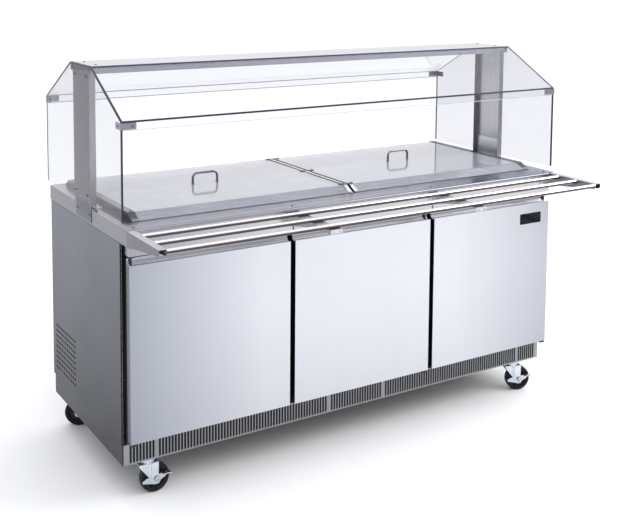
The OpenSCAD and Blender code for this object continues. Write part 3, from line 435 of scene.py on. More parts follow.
# ---------------------------------------------------------------- geometry helpers
MM = 0.001
YS = 0.125          # the depth shift of the CAD source
B = 132.5           # underside of the base frame
ZC = B + 802        # counter top
W2 = 921.5


def P(x, y, z):
    return Vector((x * MM, y * MM + YS, z * MM))


def fillet(pts, r, seg=5, closed=False):
    """A 2-D line through pts with its corners rounded to r (one radius, or one for each point)."""
    out, n = [], len(pts)
    for i, p in enumerate(pts):
        b = Vector(p)
        rr = r[i] if isinstance(r, (list, tuple)) else r
        if (not closed and i in (0, n - 1)) or rr <= 0:
            out.append(b)
            continue
        a, c = Vector(pts[i - 1]), Vector(pts[(i + 1) % n])
        u, v = (a - b).normalized(), (c - b).normalized()
        ang = u.angle(v)
        if ang > math.pi - 0.01:
            out.append(b)
            continue
        d = min(rr / math.tan(ang / 2), (a - b).length * 0.49, (c - b).length * 0.49)
        rr = d * math.tan(ang / 2)
        cen = b + (u + v).normalized() * (rr / math.sin(ang / 2))
        p0, p1 = b + u * d, b + v * d
        a0 = math.atan2(p0.y - cen.y, p0.x - cen.x)
        a1 = math.atan2(p1.y - cen.y, p1.x - cen.x)
        da = (a1 - a0 + math.pi) % (2 * math.pi) - math.pi
        for k in range(seg + 1):
            t = a0 + da * k / seg
            out.append(cen + Vector((math.cos(t), math.sin(t))) * rr)
    return out


def offset(path, d):
    """An open 2-D line moved d to its left."""
    out = []
    for i, p in enumerate(path):
        a = path[max(i - 1, 0)]
        b = path[min(i + 1, len(path) - 1)]
        u = (p - a).normalized() if i > 0 else (b - p).normalized()
        v = (b - p).normalized() if i < len(path) - 1 else u
        nu, nv = Vector((-u.y, u.x)), Vector((-v.y, v.x))
        m = (nu + nv).normalized()
        out.append(p + m * (d / max(0.35, m.dot(nu))))
    return out


def prism(bm, outline, x0, x1, axis="x", inset=0.0, mat=0, cap_mat=None):
    """Extrudes a closed (y, z) outline in millimetres from x0 to x1, with softened end edges."""
    def place(u, v, w):
        if axis == "x":
            return P(w, u, v)
        if axis == "y":
            return P(u, w, v)
        return P(u, v, w)
    n = len(outline)
    rings = []
    if inset > 0:
        cen = sum((Vector(p) for p in outline), Vector((0, 0))) / n
        small = []
        for i, p in enumerate(outline):
            a, b = Vector(outline[i - 1]), Vector(outline[(i + 1) % n])
            q = Vector(p)
            u = (q - a).normalized() if (q - a).length > 1e-9 else (b - q).normalized()
            v = (b - q).normalized() if (b - q).length > 1e-9 else u
            m = Vector((-u.y - v.y, u.x + v.x))
            m = m.normalized() if m.length > 1e-9 else Vector((-u.y, u.x))
            small.append(q + m * inset)
        area = sum(outline[i - 1][0] * outline[i][1] - outline[i][0] * outline[i - 1][1] for i in range(n))
        if area < 0:
            small = [Vector(p) * 2 - s for p, s in zip(outline, small)]
        s = 1 if x1 > x0 else -1
        levels = [(small, x0), (outline, x0 + s * inset), (outline, x1 - s * inset), (small, x1)]
    else:
        levels = [(outline, x0), (outline, x1)]
    for pts, w in levels:
        rings.append([bm.verts.new(place(p[0], p[1], w)) for p in pts])
    for ra, rb in zip(rings, rings[1:]):
        for i in range(n):
            f = bm.faces.new((ra[i - 1], ra[i], rb[i], rb[i - 1]))
            f.material_index = mat
    for ring in (rings[0], rings[-1]):
        f = bm.faces.new(ring)
        f.material_index = mat if cap_mat is None else cap_mat
    return rings


def strip(path, t):
    """The closed outline of a sheet t thick whose left side runs along path."""
    return list(path) + list(reversed(offset(path, -t)))


def lathe(bm, prof, m, seg=48, mat=0, closed=True):
    """Turns (r, h) points round the local Z of matrix m; prof is in millimetres."""
    rings = []
    for r, h in prof:
        if r < 1e-6:
            rings.append([bm.verts.new(m @ Vector((0, 0, h * MM)))])
        else:
            rings.append([bm.verts.new(m @ Vector((r * MM * math.cos(2 * math.pi * i / seg),
                                                   r * MM * math.sin(2 * math.pi * i / seg), h * MM))) for i in range(seg)])
    pairs = list(zip(rings, rings[1:]))
    if closed:
        pairs.append((rings[-1], rings[0]))
    for a, b in pairs:
        if len(a) == 1 and len(b) == 1:
            continue
        for i in range(seg):
            j = (i + 1) % seg
            if len(a) == 1:
                f = bm.faces.new((a[0], b[i], b[j]))
            elif len(b) == 1:
                f = bm.faces.new((a[i], a[j], b[0]))
            else:
                f = bm.faces.new((a[i], a[j], b[j], b[i]))
            f.material_index = mat
    return rings


def rr_loop(bm, w, d, r, z, cx, cy, k=8):
    """A ring of vertices round a rectangle with round corners."""
    vs = []
    for sx, sy, a0 in ((1, 1, 0), (-1, 1, 90), (-1, -1, 180), (1, -1, 270)):
        for j in range(k + 1):
            a = math.radians(a0 + 90 * j / k)
            vs.append(bm.verts.new(P(cx + sx * (w / 2 - r) + r * math.cos(a), cy + sy * (d / 2 - r) + r * math.sin(a), z)))
    return vs


def bridge(bm, a, b, mat=0):
    n = len(a)
    for i in range(n):
        f = bm.faces.new((a[i], a[(i + 1) % n], b[(i + 1) % n], b[i]))
        f.material_index = mat


def frame_at(loc, z, x=None):
    """A matrix whose Z points along z, at loc."""
    z = Vector(z).normalized()
    x = Vector(x) if x else (Vector((1, 0, 0)) if abs(z.x) < 0.9 else Vector((0, 1, 0)))
    y = z.cross(x).normalized()
    x = y.cross(z)
    m = Matrix.Identity(4)
    for i in range(3):
        m[i][0], m[i][1], m[i][2], m[i][3] = x[i], y[i], z[i], loc[i]
    return m


# a dome screw head with a cross recess, made once and copied to every place
def make_head(r=5.0, h=2.6):
    R = (r * r + h * h) / (2 * h)
    bm = bmesh.new()
    prof = [(0, -0.05), (r, -0.05), (r, 0.12)]
    a1 = math.asin(r / R)
    for k in range(1, 11):
        a = a1 * (1 - k / 10)
        prof.append((R * math.sin(a), max(0.12, R * math.cos(a) - R + h)))
    prof[-1] = (0, h)
    lathe(bm, prof, Matrix.Identity(4), 32, 0, closed=False)
    bmesh.ops.recalc_face_normals(bm, faces=bm.faces)
    me = bpy.data.meshes.new("tmp_head")
    bm.to_mesh(me)
    bm.free()
    head = bpy.data.objects.new("tmp_head", me)
    scene.collection.objects.link(head)
    bm = bmesh.new()
    s = MM
    for rot in (0, 90):
        ret = bmesh.ops.create_cube(bm, size=1)
        bmesh.ops.scale(bm, vec=(r * 1.05 * s, r * 0.2 * s, h * 1.3 * s), verts=ret["verts"])
        for v in ret["verts"]:
            if v.co.z < 0:
                v.co.x *= 0.3
        bmesh.ops.rotate(bm, cent=(0, 0, 0), matrix=Matrix.Rotation(math.radians(rot), 3, "Z"), verts=ret["verts"])
        bmesh.ops.translate(bm, vec=(0, 0, h * 1.05 * s), verts=ret["verts"])
    mc = bpy.data.meshes.new("tmp_cross")
    bm.to_mesh(mc)
    bm.free()
    cross = bpy.data.objects.new("tmp_cross", mc)
    scene.collection.objects.link(cross)
    md = head.modifiers.new("b", "BOOLEAN")
    md.operation = "DIFFERENCE"
    md.solver = "EXACT"
    md.use_self = True
    md.object = cross
    dg = bpy.context.evaluated_depsgraph_get()
    res = bpy.data.meshes.new_from_object(head.evaluated_get(dg))
    bpy.data.objects.remove(head)
    bpy.data.objects.remove(cross)
    return res


HEAD = make_head()


def add_head(bm, m, scale=1.0, mat=0, rot=0.0):
    """Copies the screw head into bm at matrix m."""
    first = len(bm.faces)
    tmp = HEAD.copy()
    tmp.transform(m @ Matrix.Rotation(rot, 4, "Z") @ Matrix.Scale(scale, 4))
    bm.from_mesh(tmp)
    bpy.data.meshes.remove(tmp)
    bm.faces.ensure_lookup_table()
    for f in bm.faces[first:]:
        f.material_index = mat


# ---------------------------------------------------------------- the object
BODY_FRONT, BODY_REAR = 321.0, 390.0
GY, GT, GH, GX = 15.5, 103.0, 378.0, W2 + 4.6
ZS, ZK = B + 1296.0, B + 1145.0
PZ = ZC - 41.5
ZL = ZC + 22.5


def new_piece(name, body, mats, nodes=(), smooth=40.0, weighted=True):
    """Opens a bmesh and returns it with the call that turns it into a piece."""
    bm = bmesh.new()
    return bm, lambda: finish_piece(bm, name, body, mats, nodes, smooth, weighted)


# cabinet shell


def panel_split(f):
    # the walls of the air holes are in shade; a black strip under the counter band is a painted shadow line, and a
    # black strip along the front edge is painted shade of the gap beside the doors
    c = f.calc_center_median()
    wall = abs(f.normal.x) < 0.5 and 0.26 < c.y < 0.48 and 0.23 < c.z < 0.41
    if c.z > (ZC - 54 - 3.4) * MM or (c.y - YS) / MM < -312:
        return 2
    if c.z < (B + 73.4) * MM:
        return 3
    return 1 if wall else 0


for n in ("side_panel_left", "side_panel_right"):
    refine(n, None, 0.0004, split=panel_split, mats=["panel", "dark", "gasket", "seam"],
           cuts=[(P(0, 0, ZC - 54 - 3.4), (0, 0, 1)), (P(0, -312, 0), (0, 1, 0)), (P(0, 0, B + 73.4), (0, 0, 1))])


def base_split(f):
    # painted shade: all faces but the outer ends and the back are black
    c = f.calc_center_median()
    if abs(f.normal.x) > 0.9 and abs(c.x) > 0.92099 or f.normal.y > 0.9 and c.y > 0.4965:
        return 0
    return 1


refine("base_frame", None, 0.0004, 1, split=base_split, mats=["panel", "dark"])


def kick_grille():
    # the slotted strip; a black sheet behind it and black slot walls paint the shade inside the base
    bm = cad_bm("kick_grille")
    soft_edges(bm, 0.0004, 2, 35.0)
    bm.normal_update()
    for f in bm.faces:
        f.material_index = 0 if f.normal.y < -0.5 or abs(f.calc_center_median().x) > 0.915 else 1
    prism(bm, [(-320.4, B + 0.4), (-319.6, B + 0.4), (-319.6, B + 68.6), (-320.4, B + 68.6)], -918.5, 918.5, "x", 0.0, 1)
    finish_piece(bm, "v_kick_grille", BODY["kick_grille"], ["grille", "dark"], ["kick_grille"])


kick_grille()
refine("front_fascia", "front", 0.0006, 3)


def counter_split(f):
    # painted shade: the counter's end faces take the darker band steel
    c = f.calc_center_median()
    return 1 if abs(f.normal.x) > 0.7 and abs(c.x) > 0.9 and c.y > -0.2545 else 0


refine("counter_top", None, 0.0008, 3, split=counter_split, mats=["counter", "band"])
refine("pan_well_frame", "counter", 0.0006)
refine("pan_divider_bars", "counter", 0.0006)


# back panel with a pressed hood over each louvre
def back_panel():
    bm = cad_bm("back_panel")
    soft_edges(bm, 0.0004, 1, 35.0)
    for gx in (-620, 0, 620):
        for i in range(10):
            z = B + 112 + i * 17
            prof = [(BODY_REAR - 0.6, z + 11.0), (BODY_REAR + 0.3, z + 9.6), (BODY_REAR + 3.6, z + 6.4), (BODY_REAR + 5.2, z + 2.6),
                    (BODY_REAR + 5.4, z - 0.6), (BODY_REAR + 4.5, z - 0.6), (BODY_REAR + 4.2, z + 2.2),
                    (BODY_REAR + 2.8, z + 5.2), (BODY_REAR - 0.4, z + 8.6), (BODY_REAR - 0.6, z + 9.2)]
            n = len(prof)
            xs = [(-194, 0.0), (-192.5, 0.35), (-189, 0.75), (-184, 1.0), (184, 1.0), (189, 0.75), (192.5, 0.35), (194, 0.0)]
            rings = []
            for x, k in xs:
                ring = []
                for (yy, zz) in prof:
                    y2 = BODY_REAR - 0.6 + (yy - BODY_REAR + 0.6) * max(k, 0.12)
                    ring.append(bm.verts.new(P(gx + x, y2, zz)))
                rings.append(ring)
            for a, b in zip(rings, rings[1:]):
                for j in range(n):
                    bm.faces.new((a[j - 1], a[j], b[j], b[j - 1]))
            bm.faces.new(rings[0])
            bm.faces.new(list(reversed(rings[-1])))
    finish_piece(bm, "v_back_panel", BODY["back_panel"], ["panel"], ["back_panel"], 30)


back_panel()


def body_split(f):
    # painted shade: the front face is black for the shade in the gaps between the doors, and the faces low at the rear
    # are black too
    c = f.calc_center_median()
    y, z = (c.y - YS) / MM, c.z / MM
    if y < -BODY_FRONT + 0.5:
        return 1
    if y > 117.5 and z < B + 294 and y < BODY_REAR - 1 and abs(c.x) < 0.919:
        return 3
    if y < 73.5 + 0.5 or z > B + 338 and y < BODY_REAR - 46.5:
        inside = abs(c.x) < 0.8745 and (y < 74 or z > B + 338) and z < B + 742 and z > 252 and y > -BODY_FRONT + 0.2
        return 0 if inside else 2
    return 2


refine("insulated_body", None, 0.0025, 3, pick=lambda e: not all(abs(v.co.z / MM - B - 293.4) < 1 for v in e.verts), split=body_split, mats=["liner", "gasket", "galv", "dark"])


# food pans: rolled rim, stacking shoulder, tapered walls and a rounded bottom
def food_pan(i):
    bm, done = new_piece("v_food_pan_%d" % i, BODY["food_pan_%d" % i], ["pan"], ["food_pan_%d" % i], 50)
    cx, cy, t = (i - 3) * 335.0, 41.0, 0.9
    zb = PZ - 150 + t

    def inner():
        out, rb = [], 19.0
        for k in range(7):
            a = math.radians(15 * k)
            out.append((295 - 2 * rb * (1 - math.sin(a)), 495 - 2 * rb * (1 - math.sin(a)), 22.5 - rb * (1 - math.sin(a)), zb + rb * (1 - math.cos(a))))
        out += [(298.6, 498.6, 22.9, PZ - 36), (299.4, 499.4, 23.1, PZ - 33.5), (301.2, 501.2, 23.4, PZ - 31.5), (301.8, 501.8, 23.6, PZ - 29),
                (301.9, 501.9, 23.6, PZ - 4)]
        for k in range(1, 6):
            a = math.radians(18 * k)
            out.append((301.9 + 11 * (1 - math.cos(a)), 501.9 + 11 * (1 - math.cos(a)), 23.6 - 0.8 * k, PZ - 4 + 5.5 * math.sin(a)))
        return out
    prof = inner()
    prof += [(320.5, 525.5, 14.5, PZ + 1.5), (323.2, 528.2, 14.2, PZ + 1.35), (324.6, 529.6, 14, PZ + 0.95), (325, 530, 14, PZ + 0.5), (324.4, 529.4, 14, PZ + 0.02)]
    prof += [(316, 521, 15, PZ + 0.02), (311, 511, 22, PZ + 0.01), (306.5, 506.5, 23.5, PZ - 0.9), (304.2, 504.2, 24.6, PZ - 4)]
    prof += [(303.8, 503.8, 24.6, PZ - 29.4), (303.0, 503.0, 24.3, PZ - 32.2), (301.3, 501.3, 23.8, PZ - 34.2), (300.4, 500.4, 23.6, PZ - 36.6)]
    rb = 19.0 + t
    for k in range(6, -1, -1):
        a = math.radians(15 * k)
        prof.append((295 + 2 * t - 2 * rb * (1 - math.sin(a)), 495 + 2 * t - 2 * rb * (1 - math.sin(a)), 22.5 + t - rb * (1 - math.sin(a)), zb - t + rb * (1 - math.cos(a))))
    rings = [rr_loop(bm, w, d, r, z, cx, cy, 6) for w, d, r, z in prof]
    for a, b in zip(rings, rings[1:]):
        bridge(bm, a, b)
    bm.faces.new(rings[0])
    bm.faces.new(list(reversed(rings[-1])))
    done()


for i in range(1, 6):
    food_pan(i)


# doors
def door_split(dark):
    def f_(f):
        # painted light and shade: the rear of the skin is black for the shade in the door gaps, the side faces take
        # dark copies, the finger channel darker and lighter copies, and the lip's top a painted highlight
        c = f.calc_center_median()
        y, z = (c.y - YS) / MM, c.z / MM
        if y > -372 + 27.0 and z < B + 675:
            return 4
        if abs(f.normal.x) > 0.9:
            return 1 if (dark or f.normal.x > 0) else 2
        if y > -367.9 and z > B + 675:
            if f.normal.z > 0.25 and z < B + 692:
                return 7 if f.normal.z > 0.6 else 5
            return 3
        if z > B + 675 and f.normal.z > 0.12 and y < -367.8 and z < B + 690:
            return 6
        return 0
    return f_


for i, d in enumerate(("left", "middle", "right")):
    refine(d + "_door_skin", None, 0.0006, 3, split=door_split(i > 0), mats=[("door_left", "door", "door_right")[i], "side", "door_edge", "cove", "gasket", "cove_low", "door_lip", "cove_bot"],
           cuts=[(P(0, -372 + 27.0, 0), (0, 1, 0))])
    # painted shade: the front faces of the core are black for the shade in the door gaps
    refine(d + "_door_core", None, 0.003, 3, mats=["liner", "gasket"],
           split=lambda f: 1 if (f.calc_center_median().y - YS) / MM < -330.9 and f.normal.y < 0.9 else 0)
    refine(d + "_door_gasket", "gasket", 0.0025, 3)
refine("hinge_brackets", "hinge", 0.0005)
refine("door_badge", "badge", 0.0008, 3)

# sneeze guard


def post_split(f):
    # painted light and shade: feet bright, flanges mid, outward faces dark, inward faces light
    c = f.calc_center_median()
    x = abs(c.x) / MM
    if c.z / MM < ZC + 85 and x < GX - 2.1 and abs((c.y - YS) / MM - GY) < 68.5:
        return 3
    if abs(f.normal.y) > 0.7:
        return 2
    return 0 if x > GX - 0.3 and f.normal.x * c.x > 0 else 1


refine("guard_posts", None, 0.0005, 2, split=post_split, mats=["guard", "guard_in", "guard_fl", "guard_foot"])
# painted light and shade: the top is lighter than the other faces
refine("top_shelf", None, 0.0006, 2, split=lambda f: 0 if f.normal.z > 0.9 else 1, mats=["shelf", "shelf_lip"])


def pane_split(f):
    # painted reflection: opaque dark bands along the cut edges stand in for how they look dark through the sheet; the
    # edge faces take darker or lighter blues by which way they face
    c = f.calc_center_median()
    y, z = (c.y - YS) / MM - GY, c.z / MM
    if abs(f.normal.x) > 0.9:
        lim = ZS - 0.7 - (abs(y) - GT) * (ZS - 0.7 - ZK) / (GH - GT) if abs(y) > GT else ZS - 0.7
        near_top = z > lim - 9 and z > ZK - 4
        near_end = abs(y) > GH - 5
        if f.calc_area() > 0.02 or not (near_top or near_end):
            return 0
        if near_top and abs(y) < GT:
            return 1
        return 1 if y < 0 else 3
    if f.normal.z < -0.5:
        return 2
    return 1 if f.normal.y < -0.1 or f.normal.z > 0.9 else 3


for n in ("side_pane_left", "side_pane_right"):
    refine(n, None, 0.0004, 1, split=pane_split, mats=["pane", "edge", "edge_soft", "edge_mid"], inset=0.0044)


def guard_panels():
    bm, done = new_piece("v_guard_panels", BODY["guard_panels"], ["glass", "edge", "edge_soft", "edge_mid"], ["guard_panels"], 30)
    ps = (ZS - 0.7 - ZK) / (GH - GT)
    for s in (-1, 1):
        raw = [(GT + 0.3, ZS - 0.7 - 0.3 * ps), (GT + 8.5, ZS - 0.7 - 8.5 * ps), (GH, ZK), (GH, ZK - 27.5), (GH, ZK - 30)]
        outer = fillet(raw, [0, 0, 9.0, 0, 0], 8)
        inner = offset(outer, -5.0)
        ring = list(outer) + list(reversed(inner))
        ring = [Vector((GY + s * p.x, p.y)) for p in ring]
        n, m = len(ring), len(outer)
        a = [bm.verts.new(P(-GX + 0.3, p.x, p.y)) for p in ring]
        b = [bm.verts.new(P(GX - 0.3, p.x, p.y)) for p in ring]
        for j in range(n):
            k = (j + 1) % n
            f = bm.faces.new((a[j], a[k], b[k], b[j]))
            # painted reflection: the cut edges, ends and bend take opaque blues for how the clear sheet looks in
            # light; the bend is dark on the front panel and lighter on the rear
            if j == m - 1 or j == n - 1:
                f.material_index = 2
            elif j == 0:
                f.material_index = 1
            elif 3 <= j <= 8:
                f.material_index = 1 if s < 0 else 2
            elif j == m - 2:
                f.material_index = 2
        for ringv in (a, b):
            f = bm.faces.new(ringv)
            f.material_index = 2
    done()


guard_panels()
refine("corner_clips", "clip", 0.0008, 3)


# screws with a cross recess, and plain button heads at the tube ends
def dome_screws():
    bm, done = new_piece("v_dome_screws", BODY["dome_screws"], ["screw"], ["dome_screws"], 35, False)
    rng = random.Random(5)
    mull = (W2 - 9) / 3 + 20 / 6

    def put(x, y, z, d, sc=1.0):
        add_head(bm, frame_at(P(x, y, z), d), sc, 0, rng.uniform(0, math.pi))
    for sx in (-1, 1):
        for x in (mull - 3, 892):
            put(sx * x, -358, ZC, (0, 0, 1))
        for s in (-1, 1):
            put(sx * (GX - 30), GY + s * 58, ZS, (0, 0, 1))
            for z in (B + 848.5, B + 1257):
                put(sx * (GX + 6.3), GY + s * 58, z, (sx, 0, 0))
            put(sx * GX, GY + s * 62, B + 782, (sx, 0, 0))
            put(sx * (GX - 32), GY + s * (GH + 2.1), ZK - 15, (0, s, 0), 0.9)
            put(sx * (GX + 8.4), GY + s * (GH - 22), ZK - 15, (sx, 0, 0), 0.9)
        for y in (-436, -531, -628):
            # plain button heads at the tube ends
            lathe(bm, [(0, -1), (6, -1), (6, 0.6), (5.7, 1.8), (4.9, 2.9), (3.4, 3.6), (1.8, 3.9), (0, 4)],
                  frame_at(P(sx * (924 - 24.4), y, ZC - 10), (sx, 0, 0)), 24, 0, closed=False)
    done()


dome_screws()

# tray slide


def arm_split(f):
    # painted light and shade: the inside of the channel and its undersides are black, the tops a lighter copy, the
    # inward faces another
    c = f.calc_center_median()
    x, y, z = abs(c.x) / MM, (c.y - YS) / MM, c.z / MM
    if x > 890:
        inner = (x < 924 - 1.2 and f.normal.x * c.x < 0 and x > 910) or (x > 924 - 24.8 and x < 910 and f.normal.x * c.x > 0)
        if inner or f.normal.z < -0.5 and 900 < x < 922.6 and z > ZC - 6:
            return 1
        if f.normal.z > 0.5:
            return 4
        return 3 if f.normal.x * c.x < 0 else 0
    return 2


refine("tray_supports", None, 0.0005, 2, split=arm_split, mats=["arm", "dark", "bracket", "arm_in", "arm_top"])
refine("tray_tubes", "tube", 0.0008, 3)


# lids: bent clear covers between folded end plates
LY0, LY1, LR = 41 - 291.0, 41 + 292.0, 42.0


def lid_path(g, zb, r):
    raw = [(LY0 - LR - g, zb), (LY0 - g * 0.6, ZL + g), (LY1 + g * 0.6, ZL + g), (LY1 + LR * 0.75 + g, zb)]
    return fillet(raw, r, 6)


def lids():
    for s, side in ((-1, "left"), (1, "right")):
        def mir(x0, x1):
            return (x0, x1) if s > 0 else (-x0, -x1)
        bm, done = new_piece("v_lid_%s_cover" % side, "lid_" + side, ["lid", "lid_edge"], ["lid_%s_cover" % side], 35)
        path = lid_path(0, ZC + 2.0, 9)
        outline = list(path) + list(reversed(offset(path, -2.6)))
        x0, x1 = mir(4 + 1.6, 870 - 1.6)
        prism(bm, outline, x0, x1, "x", 0.0)
        bmesh.ops.recalc_face_normals(bm, faces=bm.faces)
        for f in bm.faces:
            c = f.calc_center_median()
            y, z = (c.y - YS) / MM, c.z / MM
            # painted reflection: the front fold and the bottom edges take an opaque dark blue, standing in for the
            # dark line the bent clear sheet shows
            fold = abs(y - LY0) < 4.5 and z > ZL - 6 and 0.92 < f.normal.z < 0.998
            if fold or z < ZC + 3.2 and abs(f.normal.x) < 0.5:
                f.material_index = 1
        done()
        bm, done = new_piece("v_lid_%s_ends" % side, "lid_" + side, ["lidend", "screw", "lid_band", "lid_slope"], ["lid_%s_end_plates" % side], 35)
        wide = 21.0 if s < 0 else 8.5
        # painted shade: the end plates take the dark end-plate steel
        for (xa, xb), (ba, bb) in (((4, 5.5), (5.2, wide)), ((868.5, 870), (844, 868.8))):
            cap = lid_path(1.6, ZC + 0.3, 10)
            x0, x1 = mir(xa, xb)
            prism(bm, cap, x0, x1, "x", 0.3)
            outer = lid_path(1.6, ZC + 0.3, 10)
            band = list(outer) + list(reversed(offset(outer, -1.5)))
            # painted light: on the left lid the inner part of the band takes the lighter end-plate steel
            if bb == 21.0:
                x0, x1 = mir(ba, 13.6)
                prism(bm, band, x0, x1, "x", 0.2, 2)
                ba = 13.6
            x0, x1 = mir(ba, bb)
            prism(bm, band, x0, x1, "x", 0.3)
        # painted highlight: a bright strip on the bent corner of the front slope, beside the seam
        lo, hi = Vector((LY0 - LR - 1.6, ZC + 0.3)), Vector((LY0 - 0.96, ZL + 1.6))
        n = Vector((-(hi - lo).y, (hi - lo).x)).normalized()
        pa, pb = lo.lerp(hi, 0.14), lo.lerp(hi, 0.90)
        x0, x1 = mir(6.2, 20.6)
        prism(bm, [pa + n * 0.25, pb + n * 0.25, pb - n * 1.3, pa - n * 1.3], x0, x1, "x", 0.2, 3)
        for y in (LY0 + 14, 42, LY1 - 14):
            tab = fillet([(s * 8, y - 8), (s * 31, y - 8), (s * 31, y + 8), (s * 8, y + 8)], [0, 3, 3, 0], 4, True)
            prism(bm, tab, ZL + 0.1, ZL + 1.6, "z", 0.25)
        for x in (24, 852):
            for y in (LY0 + 14, 42, LY1 - 14):
                add_head(bm, frame_at(P(s * x, y, ZL + 1.6), (0, 0, 1)), 1.0, 1, 0.6 * x + y)
        done()
        # bow handle: one bent wire with a collar at each foot
        bm, done = new_piece("v_lid_%s_handle" % side, "lid_" + side, ["bow"], ["lid_%s_handle" % side], 40)
        raw = [(-50, -7.5), (-50, 45 - 4.25), (50, 45 - 4.25), (50, -7.5)]
        path = fillet(raw, 17, 10)
        sweep(bm, [P(s * 446 + p.x, 42, ZL + p.y) for p in path], 4.25, Vector((0, 1, 0)), 20)
        for x in (-50, 50):
            lathe(bm, [(4.3, 0.02), (8.2, 0.02), (8.4, 0.5), (8.0, 1.3), (6.6, 1.9), (4.3, 2.1)],
                  frame_at(P(s * 446 + x, 42, ZL), (0, 0, 1)), 28, 0, closed=True)
        done()


def sweep(bm, pts, r, side, seg=16, mat=0):
    """A round wire along pts; side is a direction never along the wire."""
    rings = []
    for i, p in enumerate(pts):
        a, b = pts[max(i - 1, 0)], pts[min(i + 1, len(pts) - 1)]
        t = (b - a).normalized()
        u = side - t * side.dot(t)
        u.normalize()
        v = t.cross(u)
        rings.append([bm.verts.new(p + (u * math.cos(2 * math.pi * k / seg) + v * math.sin(2 * math.pi * k / seg)) * r * MM) for k in range(seg)])
    for a, b in zip(rings, rings[1:]):
        for k in range(seg):
            f = bm.faces.new((a[k - 1], a[k], b[k], b[k - 1]))
            f.material_index = mat
    for ring in (rings[0], rings[-1]):
        f = bm.faces.new(ring)
        f.material_index = mat


lids()

# machine space
refine("compressor", "comp", 0.0015, 3)
# painted shade: the end near the left side panel is black
refine("condenser", None, 0.0, split=lambda f: 1 if f.calc_center_median().x < -0.895 else 0, mats=["fins", "dark"],
       cuts=[(P(-895, 0, 0), (1, 0, 0))])
refine("condenser_fan", "black", 0.0003)
refine("evaporator_coil", "fins", 0.0)
refine("refrigerant_lines", "copper", 0.0)
refine("temperature_controller", "black", 0.0015)
refine("cord_gland", "black", 0.0006)
refine("wire_shelves", "wire", 0.0)


# casters
CST = {"fl": (-820.0, -280.0, 0.0), "fr": (816.0, -280.0, -19.0), "rl": (-824.0, 322.0, 148.0), "rr": (816.0, 322.0, -12.0)}


def caster_frame(c):
    x, y, a = CST[c]
    return Matrix.Translation(P(x, y, 0)) @ Matrix.Rotation(math.radians(a), 4, "Z")


def put_xf(bm, first, m):
    bm.verts.ensure_lookup_table()
    for v in bm.verts[first:]:
        v.co = m @ v.co


def wheel(c):
    bm, done = new_piece("v_wheel_" + c, "wheel_" + c, ["tyre", "hub"], ["caster_wheel_" + c], 40)
    R, W = 50.8, 16.0
    # tyre, a ring with a crowned tread and a stepped side wall
    half = [(38.2, 0.0), (38.2, W - 3.6), (39.0, W - 1.4), (40.6, W - 0.6), (43.4, W - 0.25), (45.6, W - 0.5), (46.6, W - 1.2), (47.6, W - 1.0),
            (49.2, W - 2.2), (50.2, W - 4.4), (50.66, W - 7.5), (R, W - 12), (R, 0.0)]
    prof = [(r, h) for r, h in half] + [(r, -h) for r, h in reversed(half[1:-1])]
    axle = frame_at(Vector((0.025, 0, 0.0508)), (0, -1, 0))
    lathe(bm, prof, axle, 72, 0)
    # wheel centre: hub, web and rim
    half = [(6.15, 0.0), (6.15, 17.2), (6.6, 17.5), (14.2, 17.5), (15.2, 16.9), (15.8, 15.4), (16.2, 9.4), (17.4, 8.0), (20, 7.4), (33.2, 6.6), (34.6, 7.4),
            (35.2, 9.2), (35.4, 13.6), (36.0, 14.5), (37.4, 14.9), (38.5, 14.3), (38.5, 0.0)]
    prof = [(r, h) for r, h in half] + [(r, -h) for r, h in reversed(half[1:-1])]
    lathe(bm, prof, axle, 72, 1)
    # ribs on both sides
    for k in range(6):
        a = math.radians(60 * k + 12)
        rot = axle @ Matrix.Rotation(a, 4, "Z")
        for s in (-1, 1):
            ring = []
            for (x, y, z) in ((15.0, -1.5, 6.0), (35.6, -1.2, 6.0), (35.6, -0.9, 12.2), (15.0, -1.1, 14.6),
                              (15.0, 1.5, 6.0), (35.6, 1.2, 6.0), (35.6, 0.9, 12.2), (15.0, 1.1, 14.6)):
                ring.append(bm.verts.new(rot @ Vector((x * MM, y * MM, s * z * MM))))
            for idx in ((0, 1, 2, 3), (7, 6, 5, 4), (0, 4, 5, 1), (1, 5, 6, 2), (2, 6, 7, 3), (3, 7, 4, 0)):
                f = bm.faces.new([ring[j] for j in idx])
                f.material_index = 1
    bm.transform(caster_frame(c))
    done()


def hexagon(bm, m, r, h0, h1, mat=0):
    """A chamfered hexagon nut along local Z of m."""
    rings = []
    for z, k in ((h0, 0.90), (h0 + 0.7, 1.0), (h1 - 0.8, 1.0), (h1, 0.88)):
        rings.append([bm.verts.new(m @ Vector((r * k * MM * math.cos(math.pi / 3 * i), r * k * MM * math.sin(math.pi / 3 * i), z * MM))) for i in range(6)])
    for a, b in zip(rings, rings[1:]):
        for i in range(6):
            f = bm.faces.new((a[i - 1], a[i], b[i], b[i - 1]))
            f.material_index = mat
    for ring in (rings[0], rings[-1]):
        f = bm.faces.new(ring)
        f.material_index = mat


